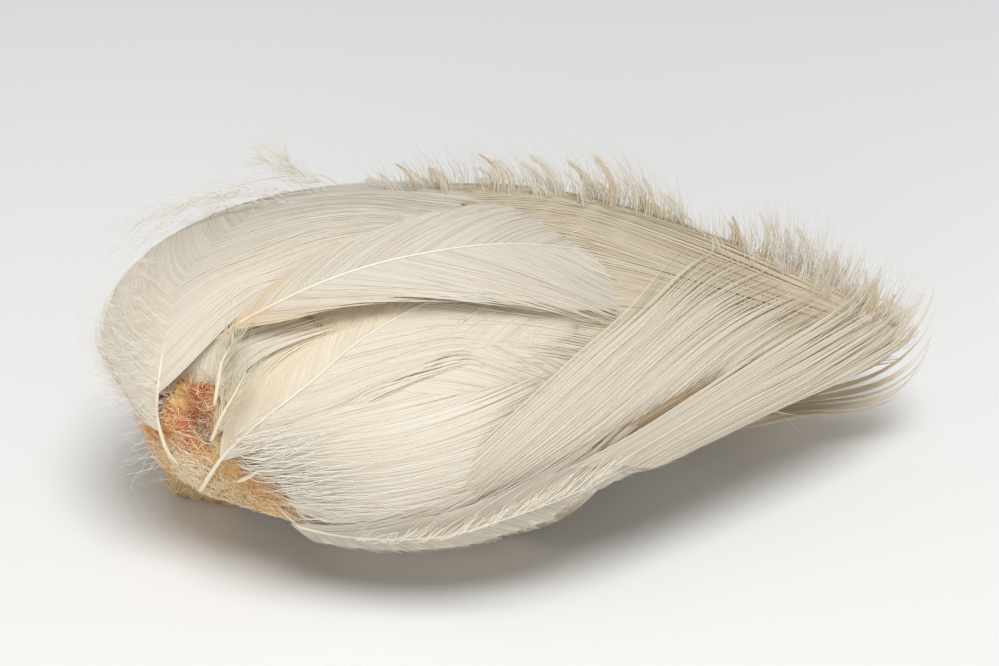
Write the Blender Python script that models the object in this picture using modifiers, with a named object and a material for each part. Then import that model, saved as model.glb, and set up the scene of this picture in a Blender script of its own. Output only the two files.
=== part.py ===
"""A tuft of white body feathers still seated on a scrap of dried skin.

Sizes are in millimetres and are turned into metres at the end.  +X runs along
the tuft from the skin towards the tips, +Z is up, and z = 0 is the table.
Places on the tuft are given as (x, turn): turn is the angle round the length,
0 at the front, 90 on top, 180 at the back and 270 underneath.
"""
import bmesh
import bpy
import numpy as np

MM = 0.001

# the rounded form that the feathers lie on
WIDEST_X = -12.0          # where the form is thickest
LEFT_LONG = 45.5
RIGHT_LONG = 95.0
HALF_WIDE = 32.5
HALF_HIGH = 22.5
THIN_AT, THIN_POWER = 0.68, 2.3
BEND_FROM, BEND_LONG = -5.0, 63.0
BEND_BACK, BEND_DOWN = 17.0, 10.0
FLAT_POWER = 2.8          # how flat the underside is
CENTRE_X, CENTRE_Y = -3.1, -0.1  # brings the whole tuft over the origin

VANE_THICK = 0.5
WIDEST_SHARE = 0.35       # how far along a vane it is widest
STEP = 0.8                # length of one step across a vane
SHAFT_SIDES = 6


def form(x):
    """Middle y, middle z, half width and half height of the form at x."""
    s = np.clip((x - WIDEST_X) / RIGHT_LONG, 0, 1.2)
    share = 1 / (1 + (s / THIN_AT) ** THIN_POWER)
    t = np.clip((x - BEND_FROM) / BEND_LONG, 0, None) ** 1.5
    return BEND_BACK * t, HALF_HIGH + 1.0 - BEND_DOWN * t, HALF_WIDE * share, HALF_HIGH * share


def roundness(q):
    flat = np.hypot(q[..., 0], q[..., 1])
    z = q[..., 2]
    below = (flat ** FLAT_POWER + np.abs(z) ** FLAT_POWER) ** (1 / FLAT_POWER)
    return np.where(z > 0, np.hypot(flat, z), below)


def to_ball(p):
    x = p[..., 0]
    y0, z0, b, h = form(x)
    long = np.where(x < WIDEST_X, LEFT_LONG, RIGHT_LONG)
    return np.stack([(x - WIDEST_X) / long, (p[..., 1] - y0) / b, (p[..., 2] - z0) / h], -1)


def onto(p):
    """The point of the form's skin that p is nearest to, along its radius."""
    for _ in range(3):
        q = to_ball(p)
        q = q / roundness(q)[..., None]
        long = np.where(q[..., 0] < 0, LEFT_LONG, RIGHT_LONG)
        x = WIDEST_X + q[..., 0] * long
        y0, z0, b, h = form(x)
        p = np.stack([x, y0 + b * q[..., 1], z0 + h * q[..., 2]], -1)
    return p


def outward(p):
    """The direction straight out of the form at p."""
    g = np.zeros_like(p)
    for k in range(3):
        d = np.zeros(3)
        d[k] = 0.05
        g[..., k] = roundness(to_ball(p + d)) - roundness(to_ball(p - d))
    return g / np.linalg.norm(g, axis=-1)[..., None]


def at(x, turn):
    """The point of the form's skin at x, turned round the length."""
    a = np.radians(np.asarray(turn, float))
    x = np.asarray(x, float)
    k = (x - WIDEST_X) / np.where(x < WIDEST_X, LEFT_LONG, RIGHT_LONG)
    low, high = np.zeros_like(x), np.full_like(x, 1.3)
    for _ in range(40):
        m = (low + high) / 2
        r = roundness(np.stack([k, -m * np.cos(a), m * np.sin(a)], -1))
        low, high = np.where(r < 1, m, low), np.where(r < 1, high, m)
    y0, z0, b, h = form(x)
    return np.stack([x, y0 - b * m * np.cos(a), z0 + h * m * np.sin(a)], -1)


def smooth_line(marks, count):
    """A Catmull-Rom line through the marks, resampled evenly."""
    m = np.asarray(marks, float)
    m = np.vstack([2 * m[0] - m[1], m, 2 * m[-1] - m[-2]])
    out = []
    for a, b, c, d in zip(m, m[1:], m[2:], m[3:]):
        for t in np.linspace(0, 1, 12, endpoint=False):
            out.append(b + 0.5 * t * (c - a + t * (2 * a - 5 * b + 4 * c - d + t * (3 * (b - c) + d - a))))
    out.append(m[-2])
    p = at(*np.array(out).T)
    run = np.concatenate([[0], np.cumsum(np.linalg.norm(np.diff(p, axis=0), axis=1))])
    want = np.linspace(0, run[-1], count)
    line = onto(np.stack([np.interp(want, run, p[:, k]) for k in range(3)], -1))
    return line, run[-1]


def unit(v):
    return v / np.linalg.norm(v, axis=-1)[..., None]


def spread(marks, count, ahead, wide):
    """Points laid over the form from a shaft line: rows along, columns across."""
    line, length = smooth_line(marks, count)
    gap = length / (count - 1)
    rows = [p for p in line]
    d = unit(line[-1] - line[-2])
    for _ in range(ahead):
        p = onto(rows[-1] + d * gap)
        n = outward(p)
        d = unit((p - rows[-1]) - n * np.dot(p - rows[-1], n))
        rows.append(p)
    line = np.array(rows)
    along = unit(np.gradient(line, axis=0))
    columns = {}
    for side in (-1, 1):
        p = line
        d = unit(np.cross(outward(p), along)) * side
        got = [p]
        for _ in range(int(wide / STEP) + 1):
            q = onto(p + d * STEP)
            n = outward(q)
            d = q - p
            d = unit(d - n * np.sum(d * n, -1)[..., None])
            p = q
            got.append(p)
        columns[side] = np.array(got)
    return columns, length, gap


def fetch(columns, gap, run, side, across):
    """The point run mm along the shaft and across mm to one side of it."""
    grid = columns[side]
    i = np.clip(run / gap, 0, grid.shape[1] - 1.001)
    j = np.clip(across / STEP, 0, grid.shape[0] - 1.001)
    i0, j0 = int(i), int(j)
    u, v = i - i0, j - j0
    return ((1 - u) * (1 - v) * grid[j0, i0] + u * (1 - v) * grid[j0, i0 + 1]
            + (1 - u) * v * grid[j0 + 1, i0] + u * v * grid[j0 + 1, i0 + 1])


def blend(three, t):
    """A smooth curve through values at the start, the middle and the end."""
    a, b, c = three
    t = min(max(t, 0.0), 1.0)
    if t < 0.5:
        k = t * 2
        return a + (b - a) * k * k * (3 - 2 * k)
    k = t * 2 - 1
    return b + (c - b) * k * k * (3 - 2 * k)


def material(name, colour, rough, sheen=0.0):
    m = bpy.data.materials.new(name)
    m.use_nodes = True
    p = m.node_tree.nodes["Principled BSDF"]
    p.inputs["Base Color"].default_value = (*colour, 1)
    p.inputs["Roughness"].default_value = rough
    p.inputs["Sheen Weight"].default_value = sheen
    return m


def mesh_object(name, verts, faces, group):
    me = bpy.data.meshes.new(name)
    me.from_pydata([tuple(float(c) * MM for c in v) for v in verts], [], faces)
    me.update()
    ob = bpy.data.objects.new(name, me)
    group.objects.link(ob)
    return ob


def apply_all(ob):
    """Turn an object with modifiers into a plain mesh."""
    deps = bpy.context.evaluated_depsgraph_get()
    me = bpy.data.meshes.new_from_object(ob.evaluated_get(deps))
    ob.modifiers.clear()
    ob.data = me


def tidy(ob):
    bm = bmesh.new()
    bm.from_mesh(ob.data)
    bmesh.ops.remove_doubles(bm, verts=bm.verts, dist=0.00002)
    bmesh.ops.recalc_face_normals(bm, faces=bm.faces)
    bm.to_mesh(ob.data)
    bm.free()


def shaft(name, points, radii, group):
    """A tapering round shaft along the points."""
    cu = bpy.data.curves.new(name, "CURVE")
    cu.dimensions = "3D"
    cu.bevel_depth = MM
    cu.bevel_resolution = (SHAFT_SIDES - 4) // 2
    cu.use_fill_caps = True
    sp = cu.splines.new("POLY")
    sp.points.add(len(points) - 1)
    for k, (p, r) in enumerate(zip(points, radii)):
        sp.points[k].co = (*[float(c) * MM for c in p], 1)
        sp.points[k].radius = float(r)
    ob = bpy.data.objects.new(name, cu)
    group.objects.link(ob)
    deps = bpy.context.evaluated_depsgraph_get()
    me = bpy.data.meshes.new_from_object(ob.evaluated_get(deps))
    bpy.data.objects.remove(ob)
    made = bpy.data.objects.new(name, me)
    group.objects.link(made)
    tidy(made)
    return made


def feather(name, marks, bare, wide, levels, group, rows=12, sweep=1.1, thick=(0.55, 0.42, 0.3),
            start=(0.35, 0.35), end=(0.3, 0.3), taper=(2.0, 2.0), teeth=0.8):
    """One feather: a thin vane with toothed edges, joined to its shaft.

    bare: length of quill before the vane; wide: reach of the vane on the two
    sides; levels: height above the form at start, middle and end, each for the
    first edge, the shaft and the second edge.
    """
    columns, length, gap = spread(marks, 40, 30, max(wide) + 2)
    sheet, faces = [], []
    across = (0.0, 0.36, 0.7, 1.0)

    def level(t, side, share):
        edge = blend([row[1 + side] for row in levels], t)
        mid = blend([row[1] for row in levels], t)
        return mid + (edge - mid) * share ** 1.5

    runs = [bare + (length - bare) * (k / (rows - 1)) for k in range(rows)]
    for k, run in enumerate(runs):
        t = (run - bare) / (length - bare)
        tooth = 1.0 if k % 2 else teeth
        for side, w in ((-1, wide[0]), (1, wide[1])):
            which = (side + 1) // 2
            if t < WIDEST_SHARE:
                reach = start[which] + (1 - start[which]) * (t / WIDEST_SHARE) ** 0.7
            else:
                fall = (t - WIDEST_SHARE) / (1 - WIDEST_SHARE)
                reach = 1 - (1 - end[which]) * fall ** taper[which]
            for j in ((3, 2, 1) if side < 0 else (0, 1, 2, 3)):
                a = w * reach * across[j] * (tooth if j == 3 else 1)
                p = fetch(columns, gap, run + a * sweep, side, a)
                t2 = (run + a * sweep) / length
                sheet.append(p + outward(p) * level(t2, side, a / w))
    n = 7
    for k in range(rows - 1):
        for j in range(n - 1):
            faces.append((k * n + j, (k + 1) * n + j, (k + 1) * n + j + 1, k * n + j + 1))
    vane = mesh_object(name, sheet, faces, group)
    solid = vane.modifiers.new("thickness", "SOLIDIFY")
    solid.thickness = VANE_THICK * MM
    solid.offset = 0
    apply_all(vane)
    tidy(vane)

    spots, radii = [], []
    for t in np.linspace(0, 0.985, 14):
        p = fetch(columns, gap, t * length, 1, 0.0)
        spots.append(p + outward(p) * level(t, 1, 0.0))
        radii.append(blend(thick, t))
    rod = shaft(name + "_rod", spots, radii, group)
    join = vane.modifiers.new("joined", "BOOLEAN")
    join.operation = "UNION"
    join.solver = "EXACT"
    join.object = rod
    apply_all(vane)
    bpy.data.objects.remove(rod)
    tidy(vane)
    vane.data.materials.clear()
    return vane


def lift_to_table(ob):
    for v in ob.data.vertices:
        v.co.z = max(v.co.z, 0.0)


# name: marks (x, turn), bare quill, reach of the two sides,
# levels at start, middle and end (first edge, shaft, second edge)
FEATHERS = {
    "left_feather": dict(
        marks=[(-46, -30), (-48, 0), (-48, 20), (-47, 48), (-46, 66), (-44, 82), (-40, 96), (-34, 112),
               (-26, 126), (-14, 138)],
        bare=8, wide=(26, 24), levels=((-1.2, -0.8, -0.8), (-1.7, 0.0, 0.0), (-2.6, -0.4, 0.0)), rows=14,
        start=(0.75, 0.55)),
    "lifted_feather": dict(
        marks=[(-39, 48), (-34, 55), (-25, 65), (-15, 73), (1, 82), (14, 90), (24, 98)],
        bare=5, wide=(11, 14), levels=((0.5, 0.5, 0.5), (1.6, 0.0, 0.0), (-3.6, -3.6, -3.6))),
    "middle_feather": dict(
        marks=[(-43, -33), (-39, -4), (-34, 16), (-29, 29), (-25, 38), (-21, 47), (-15, 57), (-8, 66),
               (2, 72)],
        bare=10, wide=(17, 17), levels=((-0.8, -0.6, -1.8), (-3.0, -3.2, -3.6), (-4.6, -4.6, -4.8)),
        start=(0.5, 0.5), sweep=1.3),
    "inner_feather": dict(
        marks=[(-38, -20), (-32, -1), (-22, 23), (-12, 37), (-3, 47), (6, 52), (14, 54), (22, 55)],
        bare=5, wide=(21, 14), levels=((-3.0, -2.2, -3.2), (-5.4, -5.4, -5.6), (-6.2, -6.2, -6.2)),
        start=(0.75, 0.7)),
    "front_feather": dict(
        marks=[(-27, -16), (-19, -10), (-11, -7), (1, -2), (14, 4), (28, 13), (40, 26), (48, 38)],
        bare=4, wide=(9, 25), levels=((-2.2, -2.2, -2.6), (-2.2, -2.0, -1.8), (-1.6, -1.6, -1.4)), rows=14,
        start=(0.9, 0.75), end=(0.3, 0.45), sweep=1.9),
    "bottom_front_feather": dict(
        marks=[(-33, -28), (-21, -30), (-8, -28), (1, -24), (9, -20), (18, -13), (26, -5), (35, 3), (43, 13),
               (50, 25), (57, 42)],
        bare=4, wide=(6.5, 9), levels=((0.3, -0.7, -0.7), (0.4, -0.3, -0.1), (0.4, 0.2, 0.2)), rows=15,
        start=(0.8, 0.9), end=(0.1, 0.7), taper=(0.45, 2.0)),
    "tail_feather": dict(
        marks=[(22, 18), (33, 18), (44, 18), (54, 20), (62, 28)],
        bare=3, wide=(16, 16), levels=((-8.0, -8.2, -8.6), (-5.6, -6.0, -6.2), (-2.6, -3.0, -2.4)), rows=13,
        start=(0.2, 0.4), end=(0.8, 0.6), taper=(1.0, 2.0)),
    "crest_feather": dict(
        marks=[(-22, 130), (-8, 128), (6, 126), (20, 128), (34, 132), (46, 138)],
        bare=4, wide=(11, 17), levels=((3.2, 1.4, 1.4), (6.6, 2.0, 1.4), (7.8, 2.4, 1.4)), rows=16,
        start=(0.6, 0.6), end=(0.5, 0.5), sweep=0.7),
    "back_feather": dict(
        marks=[(-30, 170), (-14, 168), (2, 166), (18, 166), (32, 168), (44, 172)],
        bare=4, wide=(20, 16), levels=((-2.0, -2.4, -1.7), (-2.4, -1.4, 0.0), (-4.6, -0.8, 0.0)), rows=14,
        start=(0.6, 0.6)),
    "back_left_plume": dict(
        marks=[(-22, 146), (-31, 142), (-40, 134), (-47, 122)],
        bare=3, wide=(6, 7), levels=((3.0, 3.0, 3.0), (4.4, 4.0, 3.4), (5.0, 4.6, 4.0)), rows=9),
    "under_front_feather": dict(
        marks=[(-30, 298), (-20, 296), (-8, 295), (6, 293), (20, 290), (29, 286)],
        bare=4, wide=(17, 13), levels=((1.0, 1.0, -5.6), (1.0, 1.3, -5.6), (0.8, 1.0, -5.6)),
        start=(0.6, 0.6)),
    "under_back_feather": dict(
        marks=[(-34, 244), (-18, 244), (0, 244), (16, 244), (32, 242)],
        bare=4, wide=(18, 14), levels=((-3.0, 1.4, -2.0), (-3.0, 1.7, -2.0), (-3.0, 0.8, -2.0)),
        start=(0.6, 0.6)),
    "left_under_feather": dict(
        marks=[(-54, 264), (-55, 240), (-54.5, 204), (-50, 188), (-44, 180), (-36, 176)],
        bare=1.0, wide=(7, 18), levels=((-2.6, -2.6, -2.6), (-3.6, -3.4, -3.4), (-4.2, -4.2, -4.2)),
        start=(0.8, 0.8)),
}

SMALL_QUILLS = {
    "upper_small_quill": [(-40, 22, -1.6), (-39, 32, -0.8), (-38, 40, 0.0), (-36, 47, 0.6)],
    "lower_small_quill": [(-40, 6, -0.6), (-38, 18, 0.3), (-36, 27, 0.8), (-34, 35, 1.6)],
}

# outline of the skin scrap as (x, turn), and the height of its outer face
SCRAP_EDGE = [(-52, 10), (-47, 30), (-41, 33), (-37, 24), (-37, 8), (-35, -6), (-30, -12), (-27, -24),
              (-30, -37), (-36, -52), (-39, -75), (-39, -98), (-46, -104), (-51.5, -84), (-53, -58),
              (-54, -30), (-53.5, -8)]
SCRAP_MIDDLE = (-43, -32)
SCRAP_RINGS = (0.0, 0.35, 0.68, 0.92, 1.0)
FOOT_FROM, FOOT_LONG = -66, 22   # turns over which the skin drops to the table


def scrap(group):
    """The dried skin: a curved lumpy plate with a flat place underneath."""
    mx, mt = SCRAP_MIDDLE
    outer, inner = [], []
    for ring in SCRAP_RINGS:
        for k, (x, turn) in enumerate(SCRAP_EDGE):
            px, pt = mx + (x - mx) * ring, mt + (turn - mt) * ring
            p = at(px, pt)
            n = outward(p)
            low = np.clip((FOOT_FROM - pt) / FOOT_LONG, 0, 1)
            lump = 0.25 * np.sin(1.7 * px) * np.cos(0.21 * pt) * (1 - low)
            left = np.clip((-41 - px) / 8, 0, 1) * (1 - low)
            top = -3.4 + lump + 1.0 * left + 9.5 * low * low * (3 - 2 * low)
            edge = 0.45 if ring == 1.0 else 0.0
            outer.append(p + n * (top - edge))
            inner.append(p + n * (top - 2.6 + edge * 2 - 4.0 * low))
    count = len(SCRAP_EDGE)
    outer, inner = outer[count - 1:], inner[count - 1:]
    half = len(outer)
    faces = []

    def slot(ring, k):
        return 0 if ring == 0 else 1 + (ring - 1) * count + k % count

    for layer in (0, half):
        for ring in range(len(SCRAP_RINGS) - 1):
            for k in range(count):
                a, b = slot(ring, k) + layer, slot(ring, k + 1) + layer
                c, d = slot(ring + 1, k + 1) + layer, slot(ring + 1, k) + layer
                quad = (a, b, c, d) if ring else (a, c, d)
                faces.append(quad if layer else quad[::-1])
    last = len(SCRAP_RINGS) - 1
    for k in range(count):
        a, b = slot(last, k), slot(last, k + 1)
        faces.append((a, b, b + half, a + half))
    ob = mesh_object("skin_scrap", outer + inner, faces, group)
    tidy(ob)
    bm = bmesh.new()
    bm.from_mesh(ob.data)
    cut = bmesh.ops.bisect_plane(bm, geom=bm.verts[:] + bm.edges[:] + bm.faces[:], dist=1e-6,
                                 plane_co=(0, 0, 0), plane_no=(0, 0, -1), clear_outer=True)
    rim = [e for e in cut["geom_cut"] if isinstance(e, bmesh.types.BMEdge)]
    if rim:
        bmesh.ops.holes_fill(bm, edges=rim, sides=0)
    bmesh.ops.recalc_face_normals(bm, faces=bm.faces)
    bm.to_mesh(ob.data)
    bm.free()
    return ob


for old in list(bpy.data.objects):
    bpy.data.objects.remove(old)
tuft = bpy.data.collections.new("feather_tuft")
bpy.context.scene.collection.children.link(tuft)

white = (0.86, 0.83, 0.76)
for name, given in FEATHERS.items():
    ob = feather(name, group=tuft, **given)
    lift_to_table(ob)
    ob.data.materials.append(material(name, white, 0.7, 0.3))

for name, marks in SMALL_QUILLS.items():
    spots = []
    for x, turn, level in marks:
        p = at(x, turn)
        spots.append(p + outward(p) * level)
    ob = shaft(name, spots, (0.45, 0.4, 0.32, 0.2), tuft)
    ob.data.materials.append(material(name, (0.84, 0.74, 0.52), 0.45))

ob = scrap(tuft)
ob.data.materials.append(material("skin_scrap", (0.46, 0.24, 0.1), 0.75))

for ob in tuft.objects:
    for v in ob.data.vertices:
        v.co.x += CENTRE_X * MM
        v.co.y += CENTRE_Y * MM
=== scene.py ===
import math

import bpy
import numpy as np
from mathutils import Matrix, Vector


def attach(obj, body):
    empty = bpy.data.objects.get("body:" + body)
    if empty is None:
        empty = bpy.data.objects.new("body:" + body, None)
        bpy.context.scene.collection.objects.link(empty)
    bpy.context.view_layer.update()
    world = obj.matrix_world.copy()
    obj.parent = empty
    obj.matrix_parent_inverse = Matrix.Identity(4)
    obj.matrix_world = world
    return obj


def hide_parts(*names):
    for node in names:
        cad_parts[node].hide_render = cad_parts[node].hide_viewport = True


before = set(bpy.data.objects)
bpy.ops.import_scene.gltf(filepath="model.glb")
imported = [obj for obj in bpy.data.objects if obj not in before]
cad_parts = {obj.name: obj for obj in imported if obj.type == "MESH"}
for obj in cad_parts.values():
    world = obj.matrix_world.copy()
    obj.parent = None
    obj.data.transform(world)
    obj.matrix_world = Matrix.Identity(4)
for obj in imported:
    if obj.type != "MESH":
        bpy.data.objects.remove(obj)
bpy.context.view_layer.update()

MM = 0.001
rng = np.random.default_rng(41)

# the rounded form that the feathers lie on, as in the part's source, in millimetres
WIDEST_X = -12.0
LEFT_LONG, RIGHT_LONG = 45.5, 95.0
HALF_WIDE, HALF_HIGH = 32.5, 22.5
THIN_AT, THIN_POWER = 0.68, 2.3
BEND_FROM, BEND_LONG = -5.0, 63.0
BEND_BACK, BEND_DOWN = 17.0, 10.0
FLAT_POWER = 2.8
CENTRE = np.array([-3.1, -0.1, 0.0])
WIDEST_SHARE = 0.35
STEP = 0.8


def form(x):
    """Middle y, middle z, half width and half height of the form at x."""
    s = np.clip((x - WIDEST_X) / RIGHT_LONG, 0, 1.2)
    share = 1 / (1 + (s / THIN_AT) ** THIN_POWER)
    t = np.clip((x - BEND_FROM) / BEND_LONG, 0, None) ** 1.5
    return BEND_BACK * t, HALF_HIGH + 1.0 - BEND_DOWN * t, HALF_WIDE * share, HALF_HIGH * share


def roundness(q):
    """How far out a point lies in the rounded form, 1 on its skin."""
    flat = np.hypot(q[..., 0], q[..., 1])
    z = q[..., 2]
    below = (flat ** FLAT_POWER + np.abs(z) ** FLAT_POWER) ** (1 / FLAT_POWER)
    return np.where(z > 0, np.hypot(flat, z), below)


def to_ball(p):
    """The point with the form drawn back to a ball of size 1."""
    x = p[..., 0]
    y0, z0, b, h = form(x)
    long = np.where(x < WIDEST_X, LEFT_LONG, RIGHT_LONG)
    return np.stack([(x - WIDEST_X) / long, (p[..., 1] - y0) / b, (p[..., 2] - z0) / h], -1)


def onto(p):
    """The point of the form's skin that p is nearest to, along its radius."""
    for _ in range(3):
        q = to_ball(p)
        q = q / roundness(q)[..., None]
        long = np.where(q[..., 0] < 0, LEFT_LONG, RIGHT_LONG)
        x = WIDEST_X + q[..., 0] * long
        y0, z0, b, h = form(x)
        p = np.stack([x, y0 + b * q[..., 1], z0 + h * q[..., 2]], -1)
    return p


def unit(v):
    """The directions with a length of 1."""
    return v / np.maximum(np.linalg.norm(v, axis=-1), 1e-9)[..., None]


def outward(p):
    """The direction straight out of the form at p."""
    g = np.zeros_like(p)
    for k in range(3):
        d = np.zeros(3)
        d[k] = 0.05
        g[..., k] = roundness(to_ball(p + d)) - roundness(to_ball(p - d))
    return unit(g)


def at(x, turn):
    """The point of the form's skin at x, turned round the length."""
    a = np.radians(np.asarray(turn, float))
    x = np.asarray(x, float)
    k = (x - WIDEST_X) / np.where(x < WIDEST_X, LEFT_LONG, RIGHT_LONG)
    low, high = np.zeros_like(x), np.full_like(x, 1.3)
    for _ in range(40):
        m = (low + high) / 2
        r = roundness(np.stack([k, -m * np.cos(a), m * np.sin(a)], -1))
        low, high = np.where(r < 1, m, low), np.where(r < 1, high, m)
    y0, z0, b, h = form(x)
    return np.stack([x, y0 - b * m * np.cos(a), z0 + h * m * np.sin(a)], -1)


def ground(x, turn):
    """The form's skin at x, turned round the length, and the way out of it."""
    skin = at(x, turn)
    return skin, outward(skin)


def catmull(marks, steps=12):
    """A smooth line through all the marks."""
    m = np.asarray(marks, float)
    m = np.vstack([2 * m[0] - m[1], m, 2 * m[-1] - m[-2]])
    out = []
    for a, b, c, d in zip(m, m[1:], m[2:], m[3:]):
        for t in np.linspace(0, 1, steps, endpoint=False):
            out.append(b + 0.5 * t * (c - a + t * (2 * a - 5 * b + 4 * c - d + t * (3 * (b - c) + d - a))))
    out.append(m[-2])
    return np.array(out)


def evenly(p, count):
    """Evenly spaced points along a line, and its length."""
    run = np.concatenate([[0], np.cumsum(np.linalg.norm(np.diff(p, axis=0), axis=1))])
    want = np.linspace(0, run[-1], count)
    return np.stack([np.interp(want, run, p[:, k]) for k in range(3)], -1), run[-1]


def smooth(t):
    """A soft step from 0 to 1."""
    t = np.clip(t, 0, 1)
    return t * t * (3 - 2 * t)


def blend(three, t):
    """A smooth curve through values at the start, the middle and the end."""
    a, b, c = three
    t = np.clip(t, 0, 1)
    return np.where(t < 0.5, a + (b - a) * smooth(t * 2), b + (c - b) * smooth(t * 2 - 1))


class Lay:
    """A feather's place: points laid over the form from its shaft line."""

    def __init__(self, marks, wide, levels, powers, count=60, ahead=45):
        path = at(*catmull(marks).T)
        line, self.length = evenly(path, count)
        line = onto(line)
        self.gap = self.length / (count - 1)
        self.levels, self.wide, self.powers = levels, wide, powers
        rows = list(line)
        d = unit(line[-1] - line[-2])
        for _ in range(ahead):
            p = onto(rows[-1] + d * self.gap)
            n = outward(p)
            d = unit((p - rows[-1]) - n * np.dot(p - rows[-1], n))
            rows.append(p)
        line = np.array(rows)
        along = unit(np.gradient(line, axis=0))
        sides = []
        for side in (-1, 1):
            p = line
            d = unit(np.cross(outward(p), along)) * side
            got = [p]
            for _ in range(int(wide[(side + 1) // 2] * 1.5 / STEP) + 6):
                q = onto(p + d * STEP)
                n = outward(q)
                d = q - p
                d = unit(d - n * np.sum(d * n, -1)[..., None])
                p = q
                got.append(p)
            sides.append(np.array(got))
        self.sides = sides

    def skin(self, run, across, side):
        """Points of the form, run mm along the shaft and across mm to a side."""
        grid = self.sides[(side + 1) // 2]
        i = np.clip(run / self.gap, 0, grid.shape[1] - 1.001)
        j = np.clip(across / STEP, 0, grid.shape[0] - 1.001)
        i0, j0 = i.astype(int), j.astype(int)
        u, v = (i - i0)[..., None], (j - j0)[..., None]
        return ((1 - u) * (1 - v) * grid[j0, i0] + u * (1 - v) * grid[j0, i0 + 1]
                + (1 - u) * v * grid[j0 + 1, i0] + u * v * grid[j0 + 1, i0 + 1])

    def level(self, run, across, side):
        """Height above the form, run mm along the shaft and across mm to a side."""
        t = run / self.length
        share = np.clip(across / self.wide[(side + 1) // 2], 0, 1.2)
        edge = blend([row[1 + side] for row in self.levels], t)
        mid = blend([row[1] for row in self.levels], t)
        return mid + (edge - mid) * share ** self.powers[(side + 1) // 2]


def reach(t, start, end, taper):
    """How far the vane reaches at a share t of its length."""
    rise = start + (1 - start) * (np.clip(t, 0, WIDEST_SHARE) / WIDEST_SHARE) ** 0.7
    fall = np.clip(t - WIDEST_SHARE, 0, 1) / (1 - WIDEST_SHARE)
    return np.where(t < WIDEST_SHARE, rise, 1 - (1 - end) * fall ** taper)


def strands(paths, up, widths, flat=0.4):
    """Closed three-sided strands: paths and up are (n, k, 3), widths (n, k)."""
    n, k, _ = paths.shape
    along = unit(np.gradient(paths, axis=1))
    side = unit(np.cross(up, along))
    top = unit(np.cross(along, side))
    w = widths[..., None]
    h = np.maximum(w * flat, 0.035)
    ring = np.stack([paths - side * w / 2 - top * h / 3, paths + side * w / 2 - top * h / 3,
                     paths + top * h * 2 / 3], 2)
    verts = ring.reshape(-1, 3)
    base = (np.arange(n) * k * 3)[:, None] + (np.arange(k - 1) * 3)[None, :]
    quads = []
    for c in range(3):
        d = (c + 1) % 3
        quads.append(np.stack([base + c, base + d, base + 3 + d, base + 3 + c], -1).reshape(-1, 4))
    quads = np.concatenate(quads)
    first = np.arange(n) * k * 3
    last = first + (k - 1) * 3
    caps = np.concatenate([np.stack([first + 2, first + 1, first], -1),
                           np.stack([last, last + 1, last + 2], -1)])
    return verts, quads, caps


def mesh_of(name, parts, material, tones=None, rounded=True):
    """One object from several (verts, quads, caps), with a tone for each vertex."""
    verts = np.concatenate([p[0] for p in parts])
    offset, quads, caps = 0, [], []
    for v, q, c in parts:
        quads.append(q + offset)
        caps.append(c + offset)
        offset += len(v)
    quads, caps = np.concatenate(quads), np.concatenate(caps)
    me = bpy.data.meshes.new(name)
    me.vertices.add(len(verts))
    me.vertices.foreach_set("co", ((verts + CENTRE) * MM).astype(np.float32).ravel())
    me.loops.add(quads.size + caps.size)
    me.loops.foreach_set("vertex_index", np.concatenate([quads.ravel(), caps.ravel()]).astype(np.int32))
    me.polygons.add(len(quads) + len(caps))
    starts = np.concatenate([np.arange(len(quads)) * 4, len(quads) * 4 + np.arange(len(caps)) * 3])
    me.polygons.foreach_set("loop_start", starts.astype(np.int32))
    me.update(calc_edges=True)
    me.polygons.foreach_set("use_smooth", np.full(len(me.polygons), rounded))
    if tones is not None:
        layer = me.color_attributes.new("tone", "FLOAT_COLOR", "POINT")
        rgba = np.ones((len(verts), 4), np.float32)
        rgba[:, :3] = np.concatenate(tones)
        layer.data.foreach_set("color", rgba.ravel())
    ob = bpy.data.objects.new(name, me)
    bpy.context.scene.collection.objects.link(ob)
    me.materials.append(material)
    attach(ob, "root")
    return ob


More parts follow.
